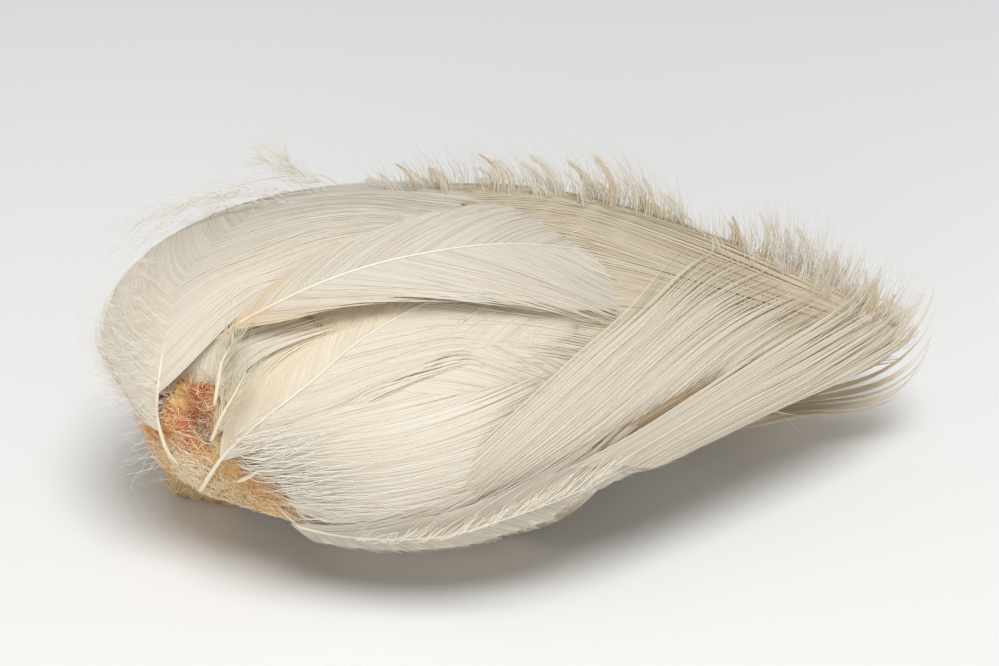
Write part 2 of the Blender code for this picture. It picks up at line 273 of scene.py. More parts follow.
# name: marks (x, turn), bare quill, reach of the two sides, levels close to those in the part's source,
# then the angle of the barbs to the shaft at their root and their tip for each side
FEATHERS = {
    "left_feather": dict(
        marks=[(-46, -30), (-48, 0), (-48, 20), (-47, 48), (-46, 66), (-44, 82), (-40, 96),
               (-34, 112), (-26, 126), (-14, 138)],
        bare=8, wide=(26, 28), levels=((-1.8, -0.8, 1.4), (-2.0, 0.2, 2.6), (-2.6, 0.0, 1.6)),
        start=(0.75, 0.55), angles=((46, 26), (60, 26)), lock=(3.5, 4.5), lift_powers=(1.2, 0.7),
        open=(0.3, 0.25)),
    "lifted_feather": dict(
        marks=[(-39, 48), (-34, 55), (-25, 65), (-15, 73), (1, 82), (14, 90), (24, 98)],
        bare=2.5, wide=(15.5, 14), levels=((-0.6, 0.5, 0.5), (-3.0, -0.3, 0.0), (-4.4, -3.0, -3.0)),
        start=(0.18, 0.3), end=(0.6, 0.3), angles=((36, 14), (32, 22)), lock=(3.0, 5.0)),
    "middle_feather": dict(
        marks=[(-43, -33), (-39, -4), (-34, 16), (-29, 29), (-25, 38), (-21, 47), (-15, 57), (-8, 66),
               (2, 72)],
        bare=10, wide=(17, 17), levels=((-0.8, -0.6, -1.8), (-2.8, -3.2, -3.6), (-3.8, -4.2, -4.8)),
        start=(0.5, 0.5), end=(0.1, 0.3), angles=((30, 12), (36, 20)), lock=(3.0, 3.5)),
    "inner_feather": dict(
        marks=[(-38, -20), (-32, -1), (-22, 23), (-12, 37), (-3, 47), (6, 52), (14, 54), (22, 55)],
        bare=5, wide=(21, 14), levels=((-3.0, -2.2, -3.2), (-3.6, -3.7, -4.4), (-4.4, -4.4, -4.8)),
        start=(0.75, 0.7), angles=((42, 16), (34, 14)), lock=(3.0, 3.5)),
    "front_feather": dict(
        marks=[(-27, -16), (-19, -10), (-11, -7), (1, -2), (14, 4), (28, 13), (40, 26), (48, 38)],
        bare=4, wide=(9, 25), levels=((-2.2, -2.2, -2.6), (-2.2, -2.0, -1.8), (-1.6, -1.6, -1.4)),
        start=(0.9, 0.75), end=(0.3, 0.45), angles=((22, 12), (36, 20)), lock=(3.0, 4.0)),
    "bottom_front_feather": dict(
        marks=[(-33, -28), (-21, -30), (-8, -27), (1, -20), (9, -15), (18, -8), (26, -1), (35, 5),
               (43, 13), (50, 25), (57, 42)],
        bare=4, wide=(3.6, 9), levels=((0.3, -0.7, -0.7), (0.4, -0.3, -0.1), (0.4, 0.2, 0.2)),
        start=(0.9, 0.9), end=(0.02, 0.7), taper=(0.3, 2.0), angles=((46, 34), (24, 12)),
        lock=(2.5, 3.5)),
    "tail_feather": dict(
        marks=[(22, 18), (33, 18), (44, 18), (54, 20), (62, 28)],
        bare=3, wide=(16, 16), levels=((-8.0, -8.2, -8.6), (-5.6, -6.0, -6.2), (-2.6, -3.0, -2.4)),
        start=(0.2, 0.4), end=(0.8, 0.6), taper=(1.0, 2.0), angles=((38, 24), (38, 24)),
        lock=(3.0, 3.0)),
    "crest_feather": dict(
        marks=[(-22, 130), (-8, 128), (6, 126), (20, 128), (34, 132), (46, 138)],
        bare=4, wide=(11, 17), levels=((0.0, -1.6, -0.6), (0.0, -1.0, -0.4), (0.0, -0.6, -0.4)),
        start=(0.6, 0.6), end=(0.5, 0.5), angles=((60, 50), (52, 34)), lock=(1.5, 4.0)),
    "back_feather": dict(
        marks=[(-30, 170), (-14, 168), (2, 166), (18, 166), (32, 168), (44, 172)],
        bare=4, wide=(20, 16), levels=((-2.0, -2.4, -1.7), (-2.4, -1.4, 0.0), (-4.6, -0.8, 0.0)),
        start=(0.6, 0.6), angles=((42, 26), (42, 26)), lock=(4.0, 4.0)),
    "back_left_plume": dict(
        marks=[(-22, 146), (-31, 142), (-40, 134), (-47, 122)],
        bare=3, wide=(6, 7), levels=((3.0, 3.0, 3.0), (4.4, 4.0, 3.4), (5.0, 4.6, 4.0)),
        angles=((40, 20), (40, 20)), lock=(2.0, 2.0)),
    "under_front_feather": dict(
        marks=[(-30, 298), (-20, 296), (-8, 295), (6, 293), (20, 290), (29, 286)],
        bare=4, wide=(15, 11), levels=((1.0, 1.0, -5.6), (1.0, 1.3, -5.6), (0.0, 0.0, -5.6)),
        start=(0.6, 0.6), end=(0.15, 0.15), angles=((46, 36), (46, 36)), lock=(4.0, 4.0)),
    "under_back_feather": dict(
        marks=[(-34, 244), (-18, 244), (0, 244), (16, 244), (32, 242)],
        bare=4, wide=(18, 14), levels=((-3.0, 1.4, -2.0), (-3.0, 1.7, -2.0), (-3.0, 0.8, -2.0)),
        start=(0.6, 0.6), angles=((42, 26), (42, 26)), lock=(4.0, 4.0)),
    "left_under_feather": dict(
        marks=[(-54, 264), (-55, 240), (-54.5, 204), (-50, 188), (-44, 180), (-36, 176)],
        bare=1.0, wide=(7, 18), levels=((-2.6, -2.6, -2.6), (-3.6, -3.4, -3.4), (-4.2, -4.2, -4.2)),
        start=(0.8, 0.8), angles=((42, 26), (42, 26)), lock=(4.0, 4.0)),
}
SEEN = ("left_feather", "lifted_feather", "middle_feather", "inner_feather", "front_feather",
        "bottom_front_feather", "crest_feather")
BARB_PITCH_SEEN, BARB_PITCH_HIDDEN = 0.27, 0.42
TIP_WIDTH = 0.05
STRAND_SIDES = 3
# colours of the barbs, the sheets under them and the shafts
LIGHT, DARK, WEB = (0.975, 0.955, 0.905), (0.90, 0.85, 0.755), (0.95, 0.915, 0.84)
# the next two are darker tan colours for the top valley, the tail fan and the tail's sheet: painted shade
# where less light falls
PAINTED_SHADE_LIGHT, PAINTED_SHADE_DARK = (0.89, 0.835, 0.71), (0.83, 0.755, 0.61)
FAN_LIGHT, FAN_DARK = (0.925, 0.895, 0.815), (0.84, 0.79, 0.685)
TIP_LIGHT, TIP_DARK = (0.99, 0.985, 0.965), (0.90, 0.81, 0.64)
QUILL, QUILL_BASE = (0.93, 0.89, 0.78), (0.93, 0.84, 0.63)
HAIR = (0.99, 0.98, 0.945)
THROUGH = (1.0, 0.95, 0.82)
# sides of a feather with their own warmer light and dark colour and warmer tips: painted warm shade, with
# light coming through, on the middle feather's upper side under the lifted feather
PAINTED_SIDE_TONES = {("middle_feather", 1): ((0.985, 0.94, 0.84), (0.93, 0.87, 0.73))}
PAINTED_TIP_TONES = {("middle_feather", 1): (0.96, 0.92, 0.83)}
# painted shade towards the far end of a feather, on tops and undersides where less light falls: from and to,
# mm along the shaft, and how dark
PAINTED_END_SHADE = {"left_feather": (18, 52, 0.87), "crest_feather": (0, 1, 0.9),
             "lifted_feather": (-1, 0, 0.955), "bottom_front_feather": (-1, 0, 0.88)}
# colour of the barbs near the base of a shaft, and how far up it goes, mm
BASE_TINT = {"lifted_feather": ((0.90, 0.74, 0.46), 12.0)}
# share of a shaft that carries barbs, when it isn't nearly all of it
UNTIL = {"under_front_feather": 0.52}
# how far the root of a quill dips in, mm
QUILL_DIP = {"left_feather": 1.6, "under_front_feather": 4.0, "under_back_feather": 4.0,
             "bottom_front_feather": 3.0, "front_feather": 2.0, "back_left_plume": 3.0}
# where a shaft sinks between its barbs: from and to, mm
QUILL_SINK = {"left_feather": (10, 24), "inner_feather": (10, 30)}
# how thick a quill is beside the others
QUILL_THICK = {"left_feather": 0.85, "lifted_feather": 0.8, "back_left_plume": 0.35,
               "bottom_front_feather": 0.7}
BARB_FLAT = 0.14
LONGEST = 52.0
BARB_OVERLAP = 1.5
COMBED_WIDTH = 0.36
# loose hairs beside the barbs of a side, as a share of them
HAIR_SHARE = 0.22
# points along a shaft, a seen barb, a hidden barb and a resampled guide line
SHAFT_POINTS, BARB_POINTS_SEEN, BARB_POINTS_HIDDEN, GUIDE_POINTS = 40, 16, 12, 24
# millimetres that a degree of turn counts for: between guide marks, on the skin and on the front
MM_A_DEGREE, SKIN_DEGREE, FRONT_DEGREE = 0.5, 0.32, 0.42
# share of a combed group's width that strays, and how deep the root of its sheet lies
STRAY_SHARE = 0.14
SHEET_DIVE = 1.0
# the farthest left and the highest that down and wisps go
DOWN_LEFT, DOWN_TOP = -60.5, 49.5
# where the vane starts along a shaft, when it is later than its bare quill
LATE = {("left_feather", -1): 14.0, ("left_feather", 1): 8.0}
# how much shorter the shortest barbs of a side are, and its sheet
RAGGED = {("bottom_front_feather", 1): 0.5, ("lifted_feather", -1): 0.16,
          ("left_feather", -1): 0.14, ("left_feather", 1): 0.4,
          ("middle_feather", -1): 0.25, ("inner_feather", -1): 0.3}
# sides that carry barbs and sheets of their own, when they aren't both
SIDES = {"crest_feather": (1,), "front_feather": (-1,), "tail_feather": ()}
WEB_SIDES = {"back_left_plume": (), "crest_feather": (1,), "front_feather": (-1,), "tail_feather": ()}

# barbs that are combed along guide lines: marks (x, turn, level) on the form, then the distance of
# the barbs, the width of a lock, how far locks rise, the share of their length that a sheet holds,
# how uneven their ends are and where the sheet starts
COMBED = {
    # the lower front barbs take lighter colours than the rest: painted light where the front is lit
    "lower_front": dict(
        guides=[[(-34.6, 15, -3.2), (-30.5, 25, -3.8), (-25.7, 32, -4.6), (-20.3, 38, -5.6),
                 (-13.5, 43, -6.2), (-6.7, 49, -6.6)],
                [(-34.1, 12, -2.8), (-27.1, 22, -3.0), (-20.2, 30, -3.8), (-12.1, 37, -4.8),
                 (-4, 45, -5.6)],
                [(-33.4, 9, -2.2), (-25.7, 19, -2.2), (-16.1, 26, -2.8), (-5.3, 33, -4.0), (6.9, 44, -5.0)],
                [(-33, 5, -1.8), (-24.3, 14, -1.4), (-13.4, 19, -1.8), (-1.3, 28, -2.8), (12.5, 42, -4.4)],
                [(-32.6, -2, -1.6), (-23, 6, -1.0), (-12.1, 11, -1.2), (0.1, 20, -2.4), (15.3, 36, -4.2)],
                [(-30.9, -10, -1.6), (-21.8, -4, -1.0), (-10.8, 1, -1.0), (1.4, 9, -2.2), (16.7, 26, -4.0)],
                [(-29.6, -16, -1.6), (-20.5, -15, -1.0), (-10.9, -11, -1.0), (0.1, -3, -2.0),
                 (13.9, 14, -4.0)],
                [(-28.4, -24, -1.6), (-19.3, -25, -1.0), (-9.6, -23, -1.0), (1.4, -14, -2.0),
                 (15.3, 2, -3.8)]],
        pitch=0.24, lock=2.4, rise=0.04, held=0.85, ragged=0.2, inset=0.04, close=0.2, sink=0.3, hairs=True,
        colours=((0.985, 0.97, 0.93), (0.95, 0.92, 0.85))),
    "beside_left": dict(
        guides=[[(-50.2, 8, -3.2), (-49.0, 40, -2.6), (-45.6, 59, -2.2), (-39.8, 69, -2.2),
                 (-34.2, 76, -2.6)],
                [(-47.8, 22, -3.0), (-46.7, 43, -2.6), (-43.6, 58, -2.1), (-38.8, 66, -2.1),
                 (-33.2, 73, -2.4)],
                [(-46.2, 24, -3.6), (-44.4, 46, -2.4), (-40.9, 57, -2.0), (-36, 63, -2.0),
                 (-31.2, 67, -2.4)],
                [(-43.6, 25, -3.8), (-41.4, 45, -2.0), (-37.9, 53, -1.8), (-33.1, 58, -1.8),
                 (-27.5, 62, -2.2)],
                [(-41.0, 24, -3.8), (-38.8, 44, -2.0), (-35, 50, -1.9), (-30.2, 54, -2.2),
                 (-24.7, 58, -2.6)],
                [(-38.3, 25, -2.4), (-36.2, 36, -2.0), (-32.5, 44, -2.1), (-27.3, 50, -2.6),
                 (-21.8, 54, -3.2)]],
        pitch=0.2, lock=1.6, rise=0.2, held=0.95, ragged=0.35, hairs=True),
    # the barbs between take warm tan colours: painted warm shade under the lifted feather
    "between": dict(
        guides=[[(-42, 8, -3.4), (-41, 28, -3.0), (-38, 45, -2.6), (-33, 56, -2.4), (-24, 64, -2.6)],
                [(-39, 6, -3.2), (-37.5, 22, -2.8), (-34.5, 38, -2.8), (-29, 50, -3), (-18, 58, -3.4)],
                [(-37, 2, -3.0), (-34.5, 18, -2.8), (-30.5, 32, -3.2), (-24, 44, -3.6), (-12, 54, -4.2)]],
        pitch=0.2, lock=2.0, rise=0.2, held=0.85, ragged=0.3,
        colours=((0.98, 0.94, 0.83), (0.93, 0.87, 0.71))),
    # the top valley is coloured with the darker tan of painted shade
    "top_valley": dict(
        guides=[[(-24, 128, -2.6), (-8, 127, -0.4), (10, 127, 1.0), (22, 127, 1.4), (34, 126, 1.6),
                 (46, 112, 1.0), (61, 78, 0.0)],
                [(-27, 106, -3.6), (-9, 105, -3.0), (10, 104, -0.8), (24, 98, -0.8), (36, 92, -0.8),
                 (48, 82, -0.6), (62, 64, -0.4)],
                [(-25, 86, -5.2), (-6, 84, -5), (12, 82, -3.0), (27, 78, -1.8), (38, 72, -1.2),
                 (49, 64, -0.8), (63, 52, -0.8)],
                [(0, 66, -6), (14, 62, -4.4), (28, 60, -2.4), (39, 54, -1.5), (50, 48, -1.1), (63, 42, -1)],
                [(4, 50, -6), (16, 48, -4.4), (28, 44, -2.6), (39, 38, -1.7), (50, 34, -1.3),
                 (63, 34, -1.2)],
                [(14, 34, -5), (24, 30, -3), (34, 27, -2.2), (44, 23, -1.8), (52, 22, -1.6),
                 (62, 26, -1.6)]],
        pitch=0.2, lock=2.0, rise=0.06, held=0.9, ragged=0.15, colours=(PAINTED_SHADE_LIGHT, PAINTED_SHADE_DARK)),
    "front_fan": dict(
        guides=[[(-12, -14, -2.6), (-6.5, 2, -2.2), (1.0, 20, -1.6), (10.5, 40, -1.2), (21.5, 66, -0.7),
                 (33, 116, 0.2)],
                [(-8.2, -17, -2.2), (-3, 0, -1.4), (4.8, 18, -1.0), (14.5, 37, -0.8), (25, 62, -0.6),
                 (39, 114, 0.4)],
                [(-4.1, -19, -2.0), (2.8, 0, -1.2), (12.4, 18, -0.8), (24.0, 43, -0.4), (38.3, 82, -0.2),
                 (46, 110, 0.4)],
                [(1.4, -18, -1.8), (9.7, -4, -1.2), (19.6, 10, -0.8), (29.8, 31, -0.3), (44.2, 68, 0.0),
                 (52, 100, 0.4)],
                [(8.4, -15, -1.6), (16.8, -5, -1.0), (26.9, 10, -0.8), (37.5, 28, -0.3), (50.6, 64, 0.0),
                 (57, 90, 0.4)],
                [(15, -10, -1.4), (24, -1, -1.0), (34, 12, -0.8), (44, 26, -0.4), (55, 58, 0.2),
                 (60, 80, 0.4)],
                [(22, -4, -1.2), (31, 4, -1.0), (40, 12, -0.8), (49, 26, -0.6), (58, 50, 0.2),
                 (62, 68, 0.4)]],
        pitch=0.12, lock=1.2, rise=0.06, held=0.72, ragged=0.56, inset=0.15, stray=4.0, close=0.12,
        sink=0.25, thin=0.2, hairs=True, colours=(FAN_LIGHT, FAN_DARK)),
    # dark tan strands in the crease between the fan and the sweep: a painted shadow
    "painted_shadow_wedge": dict(
        guides=[[(13, 6, -0.6), (20, 16, -0.1), (27, 27, 0.2), (33, 38, 0.1)],
                [(14, 4, -0.6), (21.5, 14, -0.1), (29, 24.5, 0.2), (35, 35, 0.1)],
                [(15.5, 2, -0.6), (23, 12, -0.1), (30.5, 22, 0.2), (37, 33, 0.1)]],
        pitch=0.2, lock=1.0, rise=0.1, held=0.5, ragged=0.5,
        colours=((0.74, 0.61, 0.42), (0.50, 0.38, 0.23))),
    "lower_sweep": dict(
        guides=[[(8, 0, 0.0), (19, 12, 0.3), (33, 34, 0.8), (45, 62, 1.2), (54, 100, 1.6)],
                [(15.3, -3, 0.2), (28.3, 14, 0.4), (42.3, 38, 0.8), (52.6, 66, 1.2), (59, 100, 1.4)],
                [(19.7, -9, 0.2), (32.9, 7, 0.4), (45.4, 25, 0.8), (55.5, 52, 1.2), (61.5, 84, 1.4)],
                [(22.6, -12, 0.0), (37.5, 2, 0.2), (50.2, 22, 0.6), (58.8, 46, 1.2), (63.5, 76, 1.4)],
                [(28, -10, -0.3), (41, 4, 0.0), (51, 17, 0.5), (59, 38, 1.0), (64, 64, 1.2)]],
        pitch=0.2, lock=1.1, rise=0.3, held=0.55, ragged=0.6, inset=0.18, stray=3.0, sink=0.4,
        thin=0.15, hairs=True, colours=(FAN_LIGHT, FAN_DARK)),
}
# the same, as places (x, y, z)
COMBED_FREE = {
    # the tail fan is coloured with the darker tan of painted shade
    "tail_fan": dict(
        guides=[[(24, 12, 9.5), (30.5, 12, 8.9), (42.7, 13, 10.4), (53.2, 14, 14.9), (60.5, 15, 20.3),
                 (64.0, 16, 28.4)],
                [(24, 10, 8.8), (30.4, 10, 8.4), (44.1, 11, 9.4), (56.3, 13, 12.6), (63.2, 15, 18.0),
                 (66.2, 16, 25.4)],
                [(24, 8, 8.2), (31.9, 8, 7.7), (45.6, 10, 8.4), (57.9, 12, 10.2), (64.6, 14, 14.9),
                 (65.8, 15, 19.6)],
                [(25, 6, 7.6), (33.3, 6, 7.2), (45.4, 8, 8.3), (56.3, 10, 8.4), (62.5, 12, 11.1),
                 (65.2, 14, 15.6)],
                [(26, 5, 7.0), (34.7, 5, 6.6), (45.4, 7, 8.0), (53.2, 9, 7.1), (58.8, 11, 7.4),
                 (62.0, 12, 9.6)]],
        pitch=0.1, lock=1.3, rise=0.3, held=0.5, ragged=0.35, sink=0.5, close=0.65,
        colours=(PAINTED_SHADE_LIGHT, PAINTED_SHADE_DARK)),
}


def wobble(count, scale, size):
    """A smooth random run of numbers, one each, that changes over size of them."""
    knots = rng.normal(0, 1, int(count / size) + 4)
    x = np.arange(count) / size
    i = x.astype(int)
    f = smooth(x - i)
    return scale * (knots[i] * (1 - f) + knots[i + 1] * f)


def through(values, s):
    """A smooth curve through the values along their first axis, at the shares s."""
    values = np.asarray(values, float)
    n = len(values)
    values = np.concatenate([2 * values[:1] - values[1:2], values, 2 * values[-1:] - values[-2:-1]])
    x = np.clip(s, 0, 1) * (n - 1)
    i = np.minimum(x.astype(int), n - 2)
    t = (x - i).reshape((-1,) + (1,) * (values.ndim - 1))
    a, b, c, d = values[i], values[i + 1], values[i + 2], values[i + 3]
    return b + 0.5 * t * (c - a + t * (2 * a - 5 * b + 4 * c - d + t * (3 * (b - c) + d - a)))


def barb_paths(lay, spec, side, roots, points, clump=0.35, loose=1.0, lift=0.0, extra=1.0, ragged=0.1):
    """Paths of the barbs that leave the shaft at the roots, and the way up on them."""
    which = (side + 1) // 2
    n = len(roots)
    bare, length = spec["bare"], lay.length
    t = np.clip((roots - bare) / (length - bare), 0, 1)
    start = spec.get("start", (0.35, 0.35))[which]
    end = spec.get("end", (0.3, 0.3))[which]
    taper = spec.get("taper", (2.0, 2.0))[which]
    far = spec["wide"][which] * reach(t, start, end, taper) * extra
    first, last = np.radians(spec["angles"][which])
    narrow = 1 - 0.55 * smooth((t - 0.75) / 0.25)
    lock_size = spec["lock"][which]
    edges = np.cumsum(rng.uniform(0.5, 1.5, int(length / lock_size) + 4) * lock_size)
    lock = np.searchsorted(edges, roots)
    middle = np.concatenate([[0], edges])[lock] * 0.5 + edges[np.minimum(lock, len(edges) - 1)] * 0.5
    lock_turn = rng.normal(0, 0.02, len(edges) + 2)[lock]
    lock_rise = rng.uniform(-0.01, 0.025, len(edges) + 2)[lock]
    lock_long = rng.uniform(0.92, 1.05, len(edges) + 2)[lock]
    own_turn = rng.normal(0, 0.014, n) * loose
    own_rise = rng.uniform(-0.018, 0.018, n) * loose
    own_long = 1.04 - ragged * rng.uniform(0, 1.4, n) ** 1.5
    flow = wobble(n, 0.03, 25)
    u = np.linspace(0, 1, points)
    narrow = narrow * (1 + spec.get("open", (0, 0))[which] * np.exp(-(roots - bare) / 7))
    beta = ((first + (last - first) * u ** 0.75)[None, :] * narrow[:, None]
            + (lock_turn + own_turn + flow)[:, None] * (0.3 + 0.7 * u))
    mid = (beta[:, 1:] + beta[:, :-1]) / 2
    du = np.diff(u)
    run = np.concatenate([np.zeros((n, 1)), np.cumsum(np.cos(mid) * du, 1)], 1)
    across = np.concatenate([np.zeros((n, 1)), np.cumsum(np.sin(mid) * du, 1)], 1)
    long = np.minimum(far / across[:, -1], LONGEST) * lock_long * own_long
    close = clump * smooth((u - 0.2) / 0.8)[None, :]
    run = roots[:, None] + run * long[:, None] + (middle - roots)[:, None] * close
    across = across * long[:, None]
    skin = lay.skin(run, across, side)
    up = outward(skin)
    level = lay.level(run, across, side)
    rise = lock_rise[:, None] * smooth(u * 1.4)[None, :] + own_rise[:, None] * (0.4 + u)[None, :] + lift
    paths = skin + up * (level + rise)[..., None]
    return paths, up, u, beta


def tints(light, dark, own, u, tip=None, root=None, root_long=0.2):
    """Colours for strands: own shade each, and a tint towards the tip or the root."""
    colour = np.array(light) + (np.array(dark) - light) * own[:, None]
    colour = np.repeat(colour[:, None], len(u), 1)
    if tip is not None:
        share = smooth((u - 0.4) / 0.6)[None, :, None]
        colour = colour * (1 - share) + np.array(tip) * share
    if root is not None:
        share = (1 - smooth(u / root_long))[None, :, None]
        colour = colour * (1 - share) + np.array(root) * share
    return np.repeat(colour.reshape(-1, 3), STRAND_SIDES, 0)


def painted_end_shade(name, roots, points):
    """How dark the painted shade makes the barbs at the roots, for each vertex of their strands."""
    start, stop, dark = PAINTED_END_SHADE.get(name, (-1, 0, 1))
    shade = 1 - (1 - dark) * smooth((roots - start) / (stop - start))
    return shade.repeat(points * STRAND_SIDES)[:, None]


def barb_mesh(name, spec, lay, pitch, points):
    """Strands and tones of all the barbs that leave a shaft."""
    parts, tones = [], []
    for side in SIDES.get(name, (-1, 1)):
        first = np.radians(spec["angles"][(side + 1) // 2][0])
        along_pitch = pitch / np.sin(first)
        bare = LATE.get((name, side), spec["bare"])
        roots = np.arange(bare, lay.length * UNTIL.get(name, 0.995), along_pitch)
        roots = roots + rng.uniform(-0.2, 0.2, len(roots)) * along_pitch
        ragged = RAGGED.get((name, side), 0.1)
        paths, up, u, beta = barb_paths(lay, spec, side, roots, points, ragged=ragged)
        wide = along_pitch * np.sin(np.clip(beta, 0.12, 2)) * BARB_OVERLAP
        thin = smooth((1 - u) / 0.45)[None, :]
        parts.append(strands(paths, up, TIP_WIDTH + (wide - TIP_WIDTH) * thin, BARB_FLAT))
        # warmer tones on some sides are painted warm shade
        light, dark = PAINTED_SIDE_TONES.get((name, side), (LIGHT, DARK))
        tone = tints(light, dark, rng.uniform(0, 1, len(roots)), u, tip=PAINTED_TIP_TONES.get((name, side)))
        # darker far ends and undersides are painted shade
        tone = tone * painted_end_shade(name, roots, points)
        if name in BASE_TINT:
            tint, long = BASE_TINT[name]
            share = (1 - smooth(roots / long)) * rng.uniform(0.5, 1, len(roots))
            share = (share[:, None] * (1 - 0.6 * u[None, :])).reshape(-1, 1).repeat(STRAND_SIDES, 0)
            tone = tone * (1 - share) + np.array(tint) * share
        tones.append(tone)
        if pitch == BARB_PITCH_SEEN:
            some = rng.uniform(roots[0], roots[-1], int(len(roots) * HAIR_SHARE))
            paths, up, u, _ = barb_paths(lay, spec, side, some, points, clump=0.2, loose=4.0, lift=0.12,
                                         ragged=0.35)
            paths = paths + up * (0.18 * smooth(u * 2) * rng.uniform(0, 1, (len(some), 1)))[..., None]
            fine = rng.uniform(0.06, 0.11, (len(some), 1)) * (1 - 0.7 * u[None, :] ** 2)
            parts.append(strands(paths, up, fine, 0.5))
            tone = tints(HAIR, LIGHT, rng.uniform(0, 1, len(some)), u)
            tones.append(tone * painted_end_shade(name, some, points))
    return parts, tones


def sheet_of(paths, up, turned):
    """A thin closed sheet through rows of points."""
    n, k, _ = paths.shape
    low = paths - up * 0.1
    verts = np.concatenate([paths.reshape(-1, 3), low.reshape(-1, 3)])
    i, j = np.meshgrid(np.arange(n - 1), np.arange(k - 1), indexing="ij")
    a = (i * k + j).ravel()
    top = np.stack([a, a + 1, a + k + 1, a + k], -1)
    rim = np.concatenate([np.arange(k), np.arange(2 * k - 1, n * k, k),
                          np.arange(n * k - 2, (n - 1) * k - 1, -1), np.arange((n - 2) * k, 0, -k)])
    nxt = np.roll(rim, -1)
    wall = np.stack([rim, rim + n * k, nxt + n * k, nxt], -1)
    quads = np.concatenate([top, top[:, ::-1] + n * k, wall])
    if turned:
        quads = quads[:, ::-1]
    return verts, quads, np.zeros((0, 3), int)


def web(lay, spec, name):
    """The thin closed sheets under the barbs, as far as they hold together."""
    got = []
    calm = dict(spec, lock=(1e6, 1e6))
    for side in WEB_SIDES.get(name, (-1, 1)):
        bare = LATE.get((name, side), spec["bare"])
        roots = np.linspace(bare + 0.3, lay.length * UNTIL.get(name, 0.99), 60)
        paths, up, _, _ = barb_paths(lay, calm, side, roots, 14, clump=0, loose=0, lift=-0.04,
                                     extra=0.88 - 0.6 * RAGGED.get((name, side), 0), ragged=0)
        got.append(sheet_of(paths, up, side > 0))
    return got


def resampled(marks, count):
    """Evenly spaced points on a smooth line through marks (x, turn, level)."""
    fine = through(marks, np.linspace(0, 1, 60))
    scale = np.array([1, MM_A_DEGREE, 1])
    run = np.concatenate([[0], np.cumsum(np.linalg.norm(np.diff(fine * scale, axis=0), axis=1))])
    want = np.linspace(0, run[-1], count)
    return np.stack([np.interp(want, run, fine[:, k]) for k in range(3)], -1)


def along_guides(rows, where):
    """The place at a share of the way along each row of guide points."""
    where = np.clip(where, 0, 1) * (rows.shape[1] - 1)
    i = np.minimum(where.astype(int), rows.shape[1] - 2)
    f = (where - i)[..., None]
    pick = np.arange(len(rows))
    return rows[pick, i] * (1 - f) + rows[pick, i + 1] * f


def laid(lines, rise, free):
    """The lines as places, raised by rise, and the way up on them."""
    if free:
        along = unit(np.gradient(lines, axis=1))
        up = unit(np.cross(along, np.array([0.0, 1.0, 0.25])))
        up = np.where(up[..., 2:3] < 0, -up, up)
        return lines + up * rise[..., None], up
    spots, up = onto_form(lines)
    return spots + up * rise[..., None], up


def combed(group, free=False, points=20):
    """Barbs that follow guide lines, the way up on them and the shares of their points."""
    guides = np.array([resampled(g, GUIDE_POINTS) for g in group["guides"]])
    place = guides if free else onto_form(guides)[0]
    broad = np.linalg.norm(np.diff(place[:, GUIDE_POINTS // 2], axis=0), axis=-1).sum()
    n = int(broad / group["pitch"])
    s = (np.arange(n) + rng.uniform(0, 1, n)) / n
    if "thin" in group:
        s = s[rng.uniform(0, 1, n) < s / group["thin"] + 0.12]
        n = len(s)
    lock_share = group["lock"] / broad
    edges = np.cumsum(rng.uniform(0.5, 1.5, int(1 / lock_share) + 6) * lock_share)
    lock = np.searchsorted(edges, s)
    middle = (np.concatenate([[0], edges])[lock] + edges[lock]) / 2
    u = np.linspace(0, 1, points)
    # one draw a barb is passed over, which keeps the later ones as they are
    rng.uniform(size=n)
    long = 1 - group["ragged"] * rng.uniform(0, 1, n) ** 1.5
    long = long * rng.uniform(0.93, 1, len(edges))[lock]
    drift = wobble(n, 0.012, 14) + rng.normal(0, 0.004, n)
    lines = np.empty((n, points, 3))
    for j, share in enumerate(u):
        close = group.get("close", 0.35) * smooth((share - 0.25) / 0.75)
        row = through(guides, np.clip(s + (middle - s) * close + drift * share, 0, 1))
        lines[:, j] = along_guides(row, share * long)
    rise = (rng.uniform(-0.03, group["rise"], len(edges))[lock][:, None] * smooth(u * 1.2)[None, :]
            + rng.uniform(-0.04, 0.04, n)[:, None] * (0.5 + u)[None, :])
    if "stray" in group:
        first = np.clip((group.get("stray_share", STRAY_SHARE) - s) / STRAY_SHARE, 0, 1)
        away = first * rng.uniform(0, 1, n) * group["stray"]
        lines[..., 0] -= away[:, None] * u[None, :] ** 1.5
    return (*laid(lines, rise, free), u)


def combed_sheet(group, free=False):
    """The thin closed sheet under combed barbs, as far as they hold together."""
    guides = np.array([resampled(g, GUIDE_POINTS) for g in group["guides"]])
    s = np.linspace(group.get("inset", 0.0), 1, 50)
    u = np.linspace(0, group["held"], 16)
    rows = through(guides, s)
    lines = np.stack([along_guides(rows, np.full(len(s), share)) for share in u], 1)
    end = group.get("sink", 0.6) * smooth((u / u[-1] - 0.55) / 0.45)
    start = SHEET_DIVE * (1 - smooth(u / 0.12))
    rise = np.repeat((-0.05 - end - start)[None, :], len(s), 0)
    paths, up = laid(lines, rise, free)
    return sheet_of(paths, up, False)


